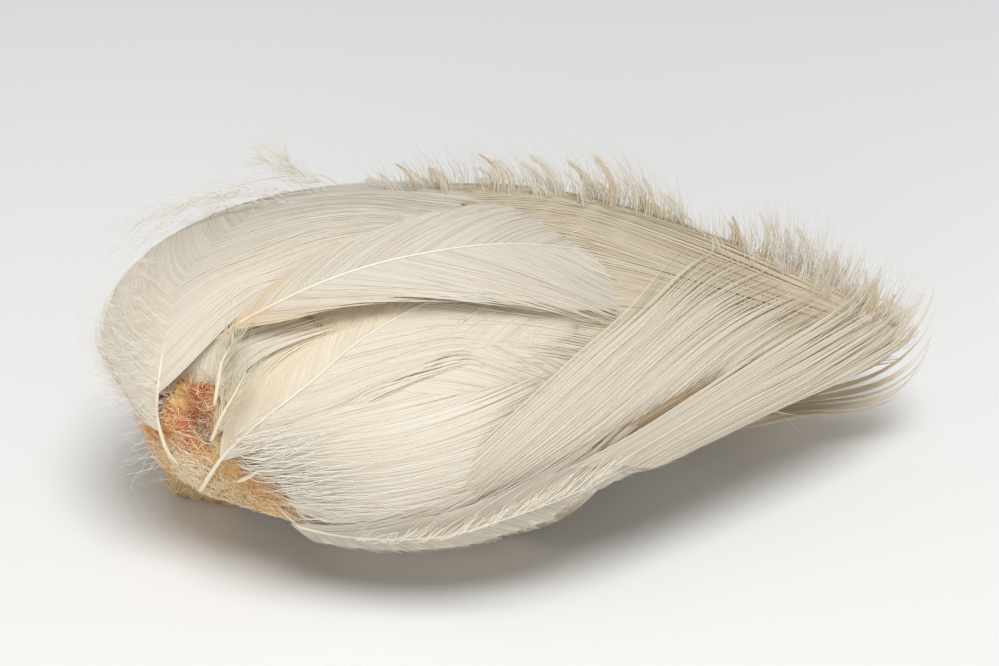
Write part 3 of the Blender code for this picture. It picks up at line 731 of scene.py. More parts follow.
def combed_parts(group, free=False):
    """The strands of a combed group and their tones."""
    paths, up, u = combed(group, free)
    thin = np.minimum(smooth((1 - u) / 0.45), 0.3 + 3 * u)[None, :]
    widths = np.broadcast_to(TIP_WIDTH + (COMBED_WIDTH - TIP_WIDTH) * thin, paths.shape[:2])
    light, dark = group.get("colours", (LIGHT, DARK))
    yield strands(paths, up, widths, BARB_FLAT), tints(light, dark, rng.uniform(0, 1, len(paths)), u)
    if "hairs" in group:
        own = dict(group, pitch=group["pitch"] * 5, lock=0.4, stray=4.0, stray_share=1.2, ragged=0.4)
        paths, up, u = combed(own)
        lift = 0.1 + 0.35 * smooth(u * 1.5) * rng.uniform(0, 1, (len(paths), 1))
        fine = rng.uniform(0.06, 0.12, (len(paths), 1)) * (1 - 0.7 * u[None, :] ** 2)
        yield (strands(paths + up * lift[..., None], up, fine, 0.5),
               tints(HAIR, LIGHT, rng.uniform(0, 1, len(paths)), u))


def onto_form(lines):
    """Places of the points (x, turn, level), and the way out of the form there."""
    skin, up = ground(lines[..., 0], lines[..., 1])
    return skin + up * lines[..., 2:3], up


def walk(x, turn, heading, long, mm_a_degree):
    """Places (x, turn) along paths over the form, from their starts and their headings."""
    step = (long / (heading.shape[1] - 1))[:, None]
    zero = np.zeros((len(x), 1))
    xs = x[:, None] + np.concatenate([zero, np.cumsum(np.cos(heading) * step, 1)[:, :-1]], 1)
    turned = np.concatenate([zero, np.cumsum(np.sin(heading) * step, 1)[:, :-1]], 1)
    return xs, turn[:, None] + turned / mm_a_degree


def plain(colour, part):
    """One colour for all the vertices of a part."""
    return np.tile(np.array([colour]), (len(part[0]), 1))


def sprout(roots, first, last, long, points, spread=0.15, wave=0.0):
    """Hairs that leave their roots in one direction and bend to another."""
    n = len(roots)
    u = np.linspace(0, 1, points)
    a = unit(np.broadcast_to(first, (n, 3)) + rng.normal(0, spread, (n, 3)))
    b = unit(np.broadcast_to(last, (n, 3)) + rng.normal(0, spread, (n, 3)))
    d = a[:, None] * (1 - u[None, :, None]) + b[:, None] * u[None, :, None]
    if wave:
        turns = rng.uniform(1.0, 2.5, (n, 1, 3)) * 2 * np.pi
        d = d + wave * np.sin(turns * u[None, :, None] + rng.uniform(0, 6.28, (n, 1, 3)))
    step = unit(d)[:, 1:] * (np.asarray(long).reshape(-1, 1, 1) / (points - 1))
    return np.concatenate([roots[:, None], roots[:, None] + np.cumsum(step, 1)], 1), u


def hair_parts(paths, u, root_width, tip_width=0.03, flat=0.6):
    """Hairs that thin out towards their tips."""
    up = np.broadcast_to(np.array([0.12, -0.45, 0.88]), paths.shape)
    w = np.asarray(root_width).reshape(-1, 1) * (1 - u[None, :]) ** 0.8 + tip_width
    return strands(paths, up, np.broadcast_to(w, paths.shape[:2]), flat)


# the ridge behind the tuft as marks (x, turn, level), then the height of its tips as (x, mm)
RIDGE = [(-20, 120, 0.0), (-8, 121, 0.2), (4, 122, 0.4), (12, 125, 1.0), (20, 128, 1.6), (27, 128, 1.4),
         (34, 127, 1.0), (41, 126, 1.2), (46, 119, 1.6), (51, 104, 1.0), (56, 84, 0.6), (60, 66, 0.4)]
RIDGE_TALL = [(-20, 4.5), (-14, 8), (0, 9), (9, 10.5), (15, 12.5), (22, 13.5), (27, 9), (30, 5.5), (34, 8.5),
              (40, 11), (45, 11.5), (50, 9.5), (56, 10), (64, 9)]
# rows of clumps: turned back by, share of the height, number of clumps
RIDGE_ROWS = ((-16, 0.85, 26), (-2, 1.0, 24), (3, 1.0, 26), (9, 0.9, 20))
RIDGE_HAIRS = 700


def fringe():
    """Clumps of curled tips along the ridge behind the tuft, and single ones between them."""
    parts, tones = [], []
    for back, share, clumps in RIDGE_ROWS:
        s = (np.arange(clumps) + rng.uniform(0.1, 0.9, clumps)) / clumps
        spot = through(RIDGE, s)
        for k in range(clumps):
            x, turn, level = spot[k]
            if back < -10 and x < 31:
                continue
            hairs = int(rng.integers(14, 34) * np.interp(x, [26, 36], [1, 0.7]))
            height = np.interp(x, *zip(*RIDGE_TALL)) * share * rng.uniform(0.4, 1.15)
            if back < -10:
                level, height = level - 1.3, height + 1.0
            broad = rng.uniform(0.5, 1.3)
            xs = x + rng.normal(0, broad, hairs)
            ts = turn + back + rng.normal(0, 2.5, hairs)
            skin, up = ground(xs, ts)
            roots = skin + up * (level - rng.uniform(1.0, 2.4, (hairs, 1)))
            lean = np.interp(x, [10, 28, 42, 50, 60], [-1.0, -0.8, -0.4, -0.1, 0.25]) + rng.normal(0, 0.15)
            start = np.interp(x, [0, 30, 48, 60], [0.25, 0.35, 0.5, 0.9])
            first = np.array([start, -0.05 + 0.2 * rng.normal(), 0.9])
            last = np.array([lean, rng.normal(0, 0.12), 0.75])
            long = height * rng.uniform(0.55, 1.1, hairs)
            paths, u = sprout(roots, first, last, long, 10, 0.07)
            centre = paths.mean(0, keepdims=True)
            paths = paths + (centre - paths) * (rng.uniform(0.55, 0.92) * smooth(u))[None, :, None]
            parts.append(hair_parts(paths, u, rng.uniform(0.08, 0.14, hairs), 0.02, 0.3))
            own = rng.uniform(0, 1) ** 3 + rng.uniform(0, 0.25, hairs)
            # the roots of each clump take a warmer, darker tint over half their length: painted shade among
            # the hairs
            tones.append(tints(TIP_LIGHT, TIP_DARK, own, u, root=(0.95, 0.91, 0.82), root_long=0.5))
    count = RIDGE_HAIRS
    spot = through(RIDGE, rng.uniform(0, 1, count))
    skin, up = ground(spot[:, 0], spot[:, 1] + rng.normal(2, 3, count))
    roots = skin + up * (spot[:, 2:3] - 1.0)
    lean = np.interp(spot[:, 0], [10, 28, 42, 60], [-0.7, -0.4, -0.1, 0.3])
    last = np.stack([lean, np.zeros(count), np.full(count, 0.8)], -1)
    first = np.array([0.3, -0.1, 0.9])
    long = np.interp(spot[:, 0], *zip(*RIDGE_TALL)) * rng.uniform(0.45, 1.05, count)
    paths, u = sprout(roots, first, last, long, 9, 0.15)
    parts.append(hair_parts(paths, u, rng.uniform(0.06, 0.12, count), 0.02))
    tones.append(tints(TIP_LIGHT, TIP_DARK, rng.uniform(0, 0.4, count), u))
    return parts, tones


# the skin scrap: its outline as (x, turn), as in the part's source
SCRAP_EDGE = [(-52, 10), (-47, 30), (-41, 33), (-37, 24), (-37, 8), (-35, -6), (-30, -12), (-27, -24),
              (-30, -37), (-36, -52), (-39, -75), (-39, -98), (-43, -104), (-47.5, -84), (-49.5, -58),
              (-51.5, -34), (-53, -12)]
SCRAP_MIDDLE = (-43, -32)
FOOT_FROM, FOOT_LONG = -66, 22
# lumps and pits of the skin: x, turn, their half widths, height
SKIN_LUMPS = [(-42.3, 25, 1.9, 7, 1.7), (-45.0, 13, 1.2, 6, -1.3), (-46.5, 2, 1.2, 5, 0.9),
              (-50.2, 2, 1.8, 7, 0.9),
              (-40.0, 4, 1.2, 6, -0.9), (-45.5, -22, 2.0, 8, 0.7), (-42, -44, 3.0, 8, 0.5),
              (-34.4, -9, 1.3, 5, -1.1), (-31.0, -14, 1.3, 5, 0.9), (-28.6, -22, 1.2, 5, -0.8),
              (-38.5, -22, 1.6, 6, 0.7), (-34.5, -28, 1.5, 6, 0.6)]
# stains: x, turn, half widths, colour
SKIN_BASE = (0.72, 0.46, 0.18)
STAINS = [(-50.4, 0, 2.6, 14, (0.80, 0.42, 0.08)), (-48.6, -16, 1.8, 10, (0.74, 0.27, 0.03)),
          (-42.5, 25, 2.5, 9, (0.42, 0.12, 0.03)), (-42.6, 12, 1.4, 7, (0.46, 0.13, 0.03)),
          (-44.9, 6, 1.9, 9, (0.40, 0.07, 0.02)), (-44.6, -6, 1.6, 7, (0.72, 0.22, 0.03)),
          (-42.4, 2, 1.2, 9, (0.30, 0.19, 0.15)), (-46.4, -30, 2.2, 9, (0.78, 0.58, 0.33)),
          (-42.6, -46, 3.2, 9, (0.58, 0.37, 0.15)), (-37.5, -38, 3.0, 8, (0.55, 0.35, 0.14)),
          (-39.4, 12, 1.4, 9, (0.86, 0.60, 0.22)), (-34.4, -9, 1.5, 6, (0.42, 0.14, 0.04)),
          (-28.8, -14, 1.6, 6, (0.45, 0.18, 0.06)), (-31.1, -26, 2.0, 7, (0.56, 0.30, 0.12)),
          (-41.5, -14, 2.0, 8, (0.84, 0.55, 0.20)), (-44, -80, 9, 20, (0.60, 0.42, 0.20))]


# waves of the uneven height: along, across and high
WAVES = ((1.0, 0.7, 0.5), (-0.6, 1.3, 0.3), (1.9, 1.1, 0.25), (-2.3, 1.7, 0.2))
# the inner face of the skin takes its colour darkened by the last number: painted shade
SKIN_LEVEL, SKIN_THICK, INNER_PAINTED_SHADE = -3.1, 2.6, 0.6


def rough(x, turn, scale, seed):
    """Smooth uneven height between -1 and 1."""
    a, b = x * scale, turn * 0.36 * scale
    got = 0
    for k, (p, q, r) in enumerate(WAVES):
        one = np.sin(a * p + b * q + seed * (k + 1.7))
        got = got + r * one * np.cos(b * p * 1.3 - a * q * 0.8 + seed + k)
    return got


def crust_level(x, turn):
    """Height of the dried skin above the form."""
    low = np.clip((FOOT_FROM - turn) / FOOT_LONG, 0, 1)
    left = np.clip((-41 - x) / 8, 0, 1) * (1 - low)
    lumps = 0
    for cx, ct, wx, wt, high in SKIN_LUMPS:
        lumps = lumps + high * np.exp(-((x - cx) / wx) ** 2 - ((turn - ct) / wt) ** 2)
    lumps = lumps + 0.34 * rough(x, turn, 1.6, 1.0) + 0.16 * rough(x, turn, 4.1, 2.0)
    return SKIN_LEVEL + lumps * (1 - 0.5 * low) + 1.0 * left + 9.0 * smooth(low)


def stain(x, turn):
    """Colour of the dried skin."""
    colour = np.zeros(np.shape(x) + (3,)) + SKIN_BASE
    bx = x + 0.5 * rough(x, turn, 2.3, 5.0)
    bt = turn + 2.0 * rough(x, turn, 1.9, 7.0)
    for cx, ct, wx, wt, tint in STAINS:
        share = np.exp(-(((bx - cx) / wx) ** 2 + ((bt - ct) / wt) ** 2) ** 1.4)[..., None]
        colour = colour * (1 - share) + np.array(tint) * share
    shade = 1 + 0.25 * rough(x, turn, 5.0, 9.0)
    return np.clip(colour * shade[..., None], 0.01, 0.95)


def scrap_spots(share, way):
    """Places (x, turn) of the skin: share from its middle to its edge, in a way from 0 to 1."""
    edge = np.array(SCRAP_EDGE + SCRAP_EDGE[:1], float)
    x = np.asarray(way) % 1 * len(SCRAP_EDGE)
    i = x.astype(int) % len(SCRAP_EDGE)
    f = (x - np.floor(x))[..., None]
    point = edge[i] * (1 - f) + edge[i + 1] * f
    return np.array(SCRAP_MIDDLE) + (point - SCRAP_MIDDLE) * np.asarray(share)[..., None]


def crust():
    """The dried skin as a thick lumpy plate with a torn edge."""
    around, rings = 150, 34
    way = np.arange(around) / around
    torn = 1 + 0.035 * np.sin(way * 2 * np.pi * 17) + 0.03 * np.sin(way * 2 * np.pi * 31 + 1)
    share = np.linspace(0, 1, rings)[1:] ** 0.9
    out = share[:, None] * torn[None, :] ** share[:, None]
    spots = scrap_spots(out, np.broadcast_to(way, out.shape))
    x, turn = spots[..., 0], spots[..., 1]
    skin, n = ground(x, turn)
    level = crust_level(x, turn)
    low = np.clip((FOOT_FROM - turn) / FOOT_LONG, 0, 1)
    rim = np.clip((share - 0.9) / 0.1, 0, 1)[:, None] ** 2
    outer = skin + n * (level - 0.9 * rim)[..., None]
    inner = skin + n * (level - SKIN_THICK + 0.6 * rim - 4.0 * low)[..., None]
    outer[..., 2] = np.maximum(outer[..., 2], 0)
    inner[..., 2] = np.maximum(inner[..., 2], 0.5)
    middle = np.array(SCRAP_MIDDLE, float)[:, None]
    mid, up = ground(*middle)
    centre = crust_level(*middle)[:, None]
    verts = np.concatenate([outer.reshape(-1, 3), inner.reshape(-1, 3), mid + up * centre,
                            mid + up * (centre - SKIN_THICK)])
    half = (rings - 1) * around
    i, j = np.meshgrid(np.arange(rings - 2), np.arange(around), indexing="ij")
    a, b = i * around + j, i * around + (j + 1) % around
    top = np.stack([a, a + around, b + around, b], -1).reshape(-1, 4)
    j = np.arange(around)
    n2 = (j + 1) % around
    last = (rings - 2) * around
    wall = np.stack([last + j, last + j + half, last + n2 + half, last + n2], -1)
    quads = np.concatenate([top, top[:, ::-1] + half, wall])
    caps = np.concatenate([np.stack([np.full(around, 2 * half), j, n2], -1),
                           np.stack([np.full(around, 2 * half + 1), n2 + half, j + half], -1)])
    colour = stain(x, turn).reshape(-1, 3)
    tint = stain(*middle)
    # the inner face and its cap are darker copies: painted shade
    tone = np.concatenate([colour, colour * INNER_PAINTED_SHADE, tint, tint * INNER_PAINTED_SHADE])
    return (verts, quads, caps), tone


# numbers of fibres over the skin and in their nest, of loose barbs in front and along the lower edge,
# of down hairs and of stiffer ones at the left end, and of hairs on one wisp
COVER_FIBRES, NEST_FIBRES = 1900, 320
LOOSE_BARBS, RIM_BARBS = 250, 150
DOWN_HAIRS, STIFF_HAIRS, WISP_HAIRS = 620, 260, 70


def fibres(x, turn, way, long, width, points, bend, high, pale):
    """Wavy fibres that lie on the skin scrap; way is their heading, 0 along +x and 90 towards +turn."""
    n = len(x)
    u = np.linspace(0, 1, points)
    heading = (np.radians(way)[:, None] + bend * np.sin(u[None, :] * rng.uniform(1.5, 5, (n, 1))
                                                        + rng.uniform(0, 6.28, (n, 1))))
    xs, ts = walk(x, turn, heading, long, SKIN_DEGREE)
    arch = np.sin(np.pi * u)[None, :] ** 0.7
    level = crust_level(xs, ts) + 0.05 + high * rng.uniform(0.1, 1, (n, 1)) * arch
    skin, up = ground(np.clip(xs, -56.5, 80), ts)
    paths = skin + up * level[..., None]
    paths[..., 2] = np.maximum(paths[..., 2], 0.12)
    w = width[:, None] * (1 - 0.7 * u[None, :] ** 2)
    colour = stain(x, turn) * 1.15 * (1 - pale[:, None]) + np.array([0.98, 0.90, 0.74]) * pale[:, None]
    return (strands(paths, up, np.broadcast_to(w, (n, points)), 0.7),
            np.repeat(colour, points * STRAND_SIDES, 0))


def matted():
    """The matted fibres over the skin, and a denser nest of them."""
    n = COVER_FIBRES
    x, turn = scrap_spots(rng.uniform(0, 1, n) ** 0.6, rng.uniform(0, 1, n)).T
    keep = ((x < -38) | (rng.uniform(0, 1, n) < 0.5)) & (turn > -97)
    x, turn = x[keep], turn[keep]
    n = len(x)
    way = np.where(x < -41, 75, 25) + rng.normal(0, 50, n)
    long = rng.uniform(1.5, 5.5, n) * np.where(x > -38, 1.7, 1.0)
    width = rng.uniform(0.07, 0.15, n)
    pale = rng.uniform(0.0, 1.0, n) ** np.where(x < -47, 3.0, 1.4)
    cover = fibres(x, turn, way, long, width, 10, 0.9, 0.32, pale)
    n = NEST_FIBRES
    x, turn = rng.normal(-45.2, 2.0, n), rng.normal(-28, 9, n)
    way, long = rng.uniform(0, 360, n), rng.uniform(3, 6, n)
    width, pale = rng.uniform(0.09, 0.15, n), rng.uniform(0.7, 1.0, n)
    nest = fibres(x, turn, way, long, width, 12, 2.0, 0.45, pale)
    return [cover[0], nest[0]], [cover[1], nest[1]]


def loose_barbs():
    """Long loose barbs that leave the skin and sweep over the front."""
    starts = [(-39.5, 0), (-37, -4), (-35, -8), (-33, -12), (-31, -16), (-29.5, -20), (-29, -27)]
    n = LOOSE_BARBS
    s = rng.uniform(0, 1, n)
    spot = through(starts, s) + rng.normal(0, 1, (n, 2)) * np.array([1.6, 3.0])
    u = np.linspace(0, 1, 15)
    long = rng.uniform(10, 30, n) * rng.uniform(0.5, 1, n)
    head = np.radians(np.interp(s, [0, 0.5, 1], [42, 22, 2]) + rng.normal(0, 9, n))
    bend = np.interp(s, [0, 1], [-0.35, 0.1])
    heading = head[:, None] + bend[:, None] * u + 0.18 * np.sin(u[None, :] * rng.uniform(4, 9, (n, 1))
                                                                 + rng.uniform(0, 6.28, (n, 1)))
    xs, ts = walk(spot[:, 0], spot[:, 1], heading, long, FRONT_DEGREE)
    skin, up = ground(xs, ts)
    own_level = rng.uniform(-0.2, 0.35, (n, 1)) * smooth(u * 1.5)[None, :]
    level = -2.2 + 1.3 * smooth(u * 2.5)[None, :] + own_level
    paths = skin + up * level[..., None]
    width = rng.uniform(0.07, 0.13, n)[:, None] * (1 - 0.75 * u[None, :] ** 2)
    root = np.array([0.66, 0.42, 0.20])
    tip = np.array([0.98, 0.945, 0.875])
    share = np.clip(rng.uniform(0, 0.5, (n, 1, 1)) + smooth(u * 3)[None, :, None], 0, 1)
    colour = root * (1 - share) + tip * share
    return [strands(paths, up, width, 0.6)], [np.repeat(colour.reshape(-1, 3), STRAND_SIDES, 0)]


def rim():
    """Short free barbs that stand off along the lower front edge."""
    n = RIM_BARBS
    x = np.sort(rng.uniform(-20, 14, n))
    turn = np.interp(x, [-21, -8, 1, 9, 18], [-28, -25, -18, -13, -6]) + rng.normal(0, 1.0, n)
    u = np.linspace(0, 1, 12)
    long = np.interp(x, [-20, -4, 8, 14], [3.5, 5.5, 8, 9]) * rng.uniform(0.6, 1.1, n)
    heading = np.radians(rng.normal(62, 8, n))[:, None] - 0.75 * u[None, :] + rng.normal(0, 0.08, (n, 1))
    xs, ts = walk(x, turn, heading, long, FRONT_DEGREE)
    skin, up = ground(xs, ts)
    level = 0.2 + rng.uniform(0.2, 1.1, (n, 1)) * np.sin(np.pi * np.clip(u * 1.1, 0, 1))[None, :] ** 0.8
    paths = skin + up * level[..., None]
    width = rng.uniform(0.09, 0.15, n)[:, None] * (1 - 0.75 * u[None, :] ** 2)
    return strands(paths, up, width, 0.5), tints(HAIR, LIGHT, rng.uniform(0, 1, n), u)


def fluff():
    """Fine down round the left end and a few stray hairs."""
    parts, tones = [], []
    n = DOWN_HAIRS
    x = rng.uniform(-57, -47, n)
    turn = np.where(rng.uniform(0, 1, n) < 0.08, rng.uniform(-45, 10, n), rng.uniform(10, 105, n))
    skin, up = ground(np.clip(x, -56.8, 80), turn)
    roots = skin + up * rng.uniform(-2.5, -0.8, n)[:, None]
    first = up + np.array([-0.6, -0.1, 0.0])
    last = up * 0.5 + np.array([-0.7, 0, 0.1]) + rng.normal(0, 0.5, (n, 3))
    paths, u = sprout(roots, first, last, rng.uniform(3, 8.5, n), 9, 0.35, 0.35)
    paths[..., 2] = np.maximum(paths[..., 2], 0.1)
    parts.append(hair_parts(paths, u, rng.uniform(0.035, 0.06, n), 0.015))
    tones.append(plain((0.99, 0.985, 0.96), parts[-1]))
    n = STIFF_HAIRS
    x, turn = rng.uniform(-57.2, -52, n), rng.uniform(0, 75, n)
    skin, up = ground(np.clip(x, -57.2, 80), turn)
    roots = skin + up * rng.uniform(-2.0, -0.4, n)[:, None]
    first = up * 0.5 + np.array([-0.3, -0.1, 0.6])
    last = up * 0.4 + np.array([-0.55, 0, 0.35]) + rng.normal(0, 0.25, (n, 3))
    paths, u = sprout(roots, first, last, rng.uniform(2, 4.5, n), 9, 0.2, 0.15)
    parts.append(hair_parts(paths, u, rng.uniform(0.05, 0.1, n), 0.02, 0.3))
    tones.append(tints(HAIR, LIGHT, rng.uniform(0, 1, n), u))
    for verts, _, _ in parts:
        verts[:, 0] = np.maximum(verts[:, 0], DOWN_LEFT)
    return parts, tones


# layers of down inside: places along x, turns and how deep they lie, mm
LAYERS = ((np.linspace(-57.4, 44, 60), np.linspace(98, 292, 50), 5.0),
          (np.linspace(-57.4, -42.5, 24), np.linspace(-70, 100, 40), 7.5))


def lining():
    """The soft down inside, as a closed thin layer with short hairs lying on it."""
    parts, tones = [], []
    for xs, turns, depth in LAYERS:
        x, turn = np.meshgrid(xs, turns, indexing="ij")
        skin, up = ground(x, turn)
        layer = skin - up * depth
        pole = np.array([WIDEST_X - LEFT_LONG + depth, 0, form(np.float64(xs[0]))[1]])
        layer[0] = pole + (layer[0] - pole) * 0.03
        parts.append(sheet_of(layer, up, False))
        tones.append(plain(LIGHT, parts[-1]))
        n = 11 * len(xs)
        x = xs[0] + 0.5 + (xs[-1] - xs[0]) * rng.uniform(0, 1, n) ** 2
        turn = rng.uniform(turns[0], turns[-1], n)
        skin, up = ground(x, turn)
        first = up * 0.25 + np.array([1.0, 0, 0]) + rng.normal(0, 0.35, (n, 3))
        paths, u = sprout(skin - up * (depth + 0.05), first, first, rng.uniform(4, 8, n), 7, 0.1, 0.2)
        parts.append(hair_parts(paths, u, rng.uniform(0.2, 0.4, n), 0.03, 0.25))
        tones.append(tints(LIGHT, DARK, rng.uniform(0, 1, n), u))
    for verts, _, _ in parts:
        verts[:, 2] = np.maximum(verts[:, 2], 0.3)
    return parts, tones


# stems of the wisps, as places (x, y, z)
PLUMES = [[(-26.1, 14, 42.4), (-33.5, 15, 42.6), (-41.7, 16, 41.4), (-49.3, 17, 38.6), (-54.6, 17, 35.4)],
          [(-25.5, 15, 42.5), (-29.4, 17, 43.6), (-32.8, 18, 44.8), (-35.4, 19, 45.4)],
          [(-25.1, 17, 42), (-28.4, 19, 42.6), (-30.6, 20, 43.4), (-31.7, 21, 44.2)],
          [(-29.7, 10, 43), (-39.3, 11, 42.2), (-47.1, 11, 39.6), (-53.6, 11, 35.6)],
          [(-32, 14, 42), (-39, 15, 41.8), (-46, 16, 39.6), (-52, 16, 36.2)]]


def plume():
    """Loose downy wisps over the back left."""
    parts, tones = [], []
    for stem in PLUMES:
        line = through(stem, np.linspace(0, 1, 24))
        d = unit(np.gradient(line, axis=0))
        n = WISP_HAIRS
        k = rng.integers(0, 23, n)
        side = rng.choice([-1, 1], n)[:, None]
        out = unit(np.cross(d[k], np.array([0, 1, 0.2]))) * side
        first = d[k] + out * 0.5 + rng.normal(0, 0.15, (n, 3))
        last = d[k] + out * 0.1 + rng.normal(0, 0.2, (n, 3)) + np.array([-0.2, 0, 0.1])
        paths, u = sprout(line[k], first, last, rng.uniform(3, 8.5, n), 11, 0.1, 0.15)
        paths[..., 2] = np.minimum(paths[..., 2], DOWN_TOP)
        paths[..., 0] = np.maximum(paths[..., 0], DOWN_LEFT)
        parts.append(hair_parts(paths, u, rng.uniform(0.04, 0.075, n), 0.02))
        tones.append(plain((0.95, 0.93, 0.87), parts[-1]))
    return parts, tones


ROD_SIDES = 10


def tubes(paths, radii, sides=ROD_SIDES):
    """Closed round rods along the paths."""
    verts, quads, caps, offset = [], [], [], 0
    turn = np.arange(sides) * 2 * np.pi / sides
    for path, radius in zip(paths, radii):
        along = unit(np.gradient(path, axis=0))
        side = unit(np.cross(along, np.array([0.03, 0.1, 1.0])))
        top = np.cross(side, along)
        flat = side[:, None] * np.cos(turn)[None, :, None]
        high = top[:, None] * np.sin(turn)[None, :, None]
        ring = path[:, None] + radius[:, None, None] * (flat + high)
        k = len(path)
        i, j = np.meshgrid(np.arange(k - 1), np.arange(sides), indexing="ij")
        a, b = i * sides + j, i * sides + (j + 1) % sides
        verts.append(np.concatenate([ring.reshape(-1, 3), path[:1], path[-1:]]))
        quads.append(np.stack([a, a + sides, b + sides, b], -1).reshape(-1, 4) + offset)
        j = np.arange(sides)
        n = (j + 1) % sides
        end = (k - 1) * sides
        caps.append(np.concatenate([np.stack([np.full(sides, k * sides), j, n], -1),
                                    np.stack([np.full(sides, k * sides + 1), end + n, end + j], -1)])
                    + offset)
        offset += k * sides + 2
    return np.concatenate(verts), np.concatenate(quads), np.concatenate(caps)


def shaft_of(name, lay):
    """The tapered shaft of a feather and its tones."""
    run = np.linspace(0, lay.length * UNTIL.get(name, 0.985), SHAFT_POINTS)
    zero = np.zeros(SHAFT_POINTS)
    skin = lay.skin(run, zero, 1)
    dip = QUILL_DIP.get(name, 0.6) * (1 - smooth(run / 5))
    if name in QUILL_SINK:
        start, stop = QUILL_SINK[name]
        dip = dip + 0.3 * smooth((run - start) / (stop - start))
    path = skin + outward(skin) * (lay.level(run, zero, 1) + 0.1 - dip)[:, None]
    thick = QUILL_THICK.get(name, 1.0)
    radius = thick * np.interp(run / lay.length, [0, 0.015, 0.15, 0.5, 1], [0.2, 0.38, 0.28, 0.17, 0.05])
    share = np.repeat(1 - smooth(run / lay.length / 0.3), ROD_SIDES)
    share = np.concatenate([share, [1.0, 0.0]])[:, None]
    base = BASE_TINT[name][0] if name in BASE_TINT else QUILL_BASE
    return tubes([path], [radius]), np.array(QUILL) * (1 - share) + np.array(base) * share


def node_material(name):
    """A new material with its nodes and links."""
    m = bpy.data.materials.new(name)
    m.use_nodes = True
    return m, m.node_tree.nodes, m.node_tree.links


def tinted_material(name, rough_value, through, grain=0.0, sheen=0.0, warmth=THROUGH):
    """Colour from the piece's own attribute, with a fine uneven grain."""
    m, nodes, links = node_material(name)
    p = nodes["Principled BSDF"]
    tone = nodes.new("ShaderNodeAttribute")
    tone.attribute_name = "tone"
    colour = tone.outputs["Color"]
    if grain:
        place = nodes.new("ShaderNodeTexCoord")
        noise = nodes.new("ShaderNodeTexNoise")
        noise.inputs["Scale"].default_value = 900
        noise.inputs["Detail"].default_value = 5
        links.new(place.outputs["Object"], noise.inputs["Vector"])
        scale = nodes.new("ShaderNodeMapRange")
        scale.inputs["From Min"].default_value = 0.3
        scale.inputs["From Max"].default_value = 0.7
        scale.inputs["To Min"].default_value = 1 - grain
        scale.inputs["To Max"].default_value = 1 + grain
        links.new(noise.outputs["Fac"], scale.inputs["Value"])
        many = nodes.new("ShaderNodeVectorMath")
        many.operation = "SCALE"
        links.new(colour, many.inputs[0])
        links.new(scale.outputs["Result"], many.inputs["Scale"])
        colour = many.outputs[0]
        bump = nodes.new("ShaderNodeBump")
        bump.inputs["Strength"].default_value = 0.5
        bump.inputs["Distance"].default_value = 0.0002
        links.new(noise.outputs["Fac"], bump.inputs["Height"])
        links.new(bump.outputs[0], p.inputs["Normal"])
    links.new(colour, p.inputs["Base Color"])
    p.inputs["Roughness"].default_value = rough_value
    p.inputs["Specular IOR Level"].default_value = 0.35
    if sheen:
        p.inputs["Sheen Weight"].default_value = sheen
        p.inputs["Sheen Roughness"].default_value = 0.4
    if through:
        t = nodes.new("ShaderNodeBsdfTranslucent")
        warm = nodes.new("ShaderNodeMix")
        warm.data_type = "RGBA"
        warm.blend_type = "MULTIPLY"
        warm.inputs[0].default_value = 1.0
        warm.inputs[7].default_value = (*warmth, 1)
        links.new(colour, warm.inputs[6])
        links.new(warm.outputs[2], t.inputs["Color"])
        both = nodes.new("ShaderNodeMixShader")
        both.inputs[0].default_value = through
        links.new(p.outputs[0], both.inputs[1])
        links.new(t.outputs[0], both.inputs[2])
        links.new(both.outputs[0], nodes["Material Output"].inputs[0])
    return m


silky = tinted_material("silky_barbs", 0.5, 0.42, sheen=0.2)
horn = tinted_material("horn", 0.4, 0.12)
down_material = tinted_material("down", 0.6, 0.35, warmth=(1.0, 0.99, 0.97))
DOWNY = {"back_left_plume": down_material}

# feathers that carry combed groups, and whether the groups lie free of the form
GROUPS = {"front_feather": (COMBED, False), "tail_feather": (COMBED_FREE, True)}

for name, spec in FEATHERS.items():
    lay = Lay(spec["marks"], spec["wide"], spec["levels"], spec.get("lift_powers", (1.5, 1.5)))
    rod, tone = shaft_of(name, lay)
    shaft = mesh_of(name + "_shaft", [rod], horn, [tone])
    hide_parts(name)
    if name == "back_left_plume":
        parts, tones = plume()
    elif name in SEEN:
        parts, tones = barb_mesh(name, spec, lay, BARB_PITCH_SEEN, BARB_POINTS_SEEN)
    else:
        parts, tones = barb_mesh(name, spec, lay, BARB_PITCH_HIDDEN, BARB_POINTS_HIDDEN)
    groups, free = GROUPS.get(name, ({}, False))
    more = [made for group in groups.values() for made in combed_parts(group, free)]
    if name == "bottom_front_feather":
        more.append(rim())
    for part, tone in more:
        parts.append(part)
        tones.append(tone)
    mesh_of(name + "_barbs", parts, DOWNY.get(name, silky), tones, rounded=False)
    sheets = web(lay, spec, name) + [combed_sheet(group, free) for group in groups.values()]
    # the tail's sheet takes the lighter tan of painted shade
    colour = PAINTED_SHADE_LIGHT if name == "tail_feather" else WEB
    if sheets:
        mesh_of(name + "_web", sheets, silky, [plain(colour, part) for part in sheets])

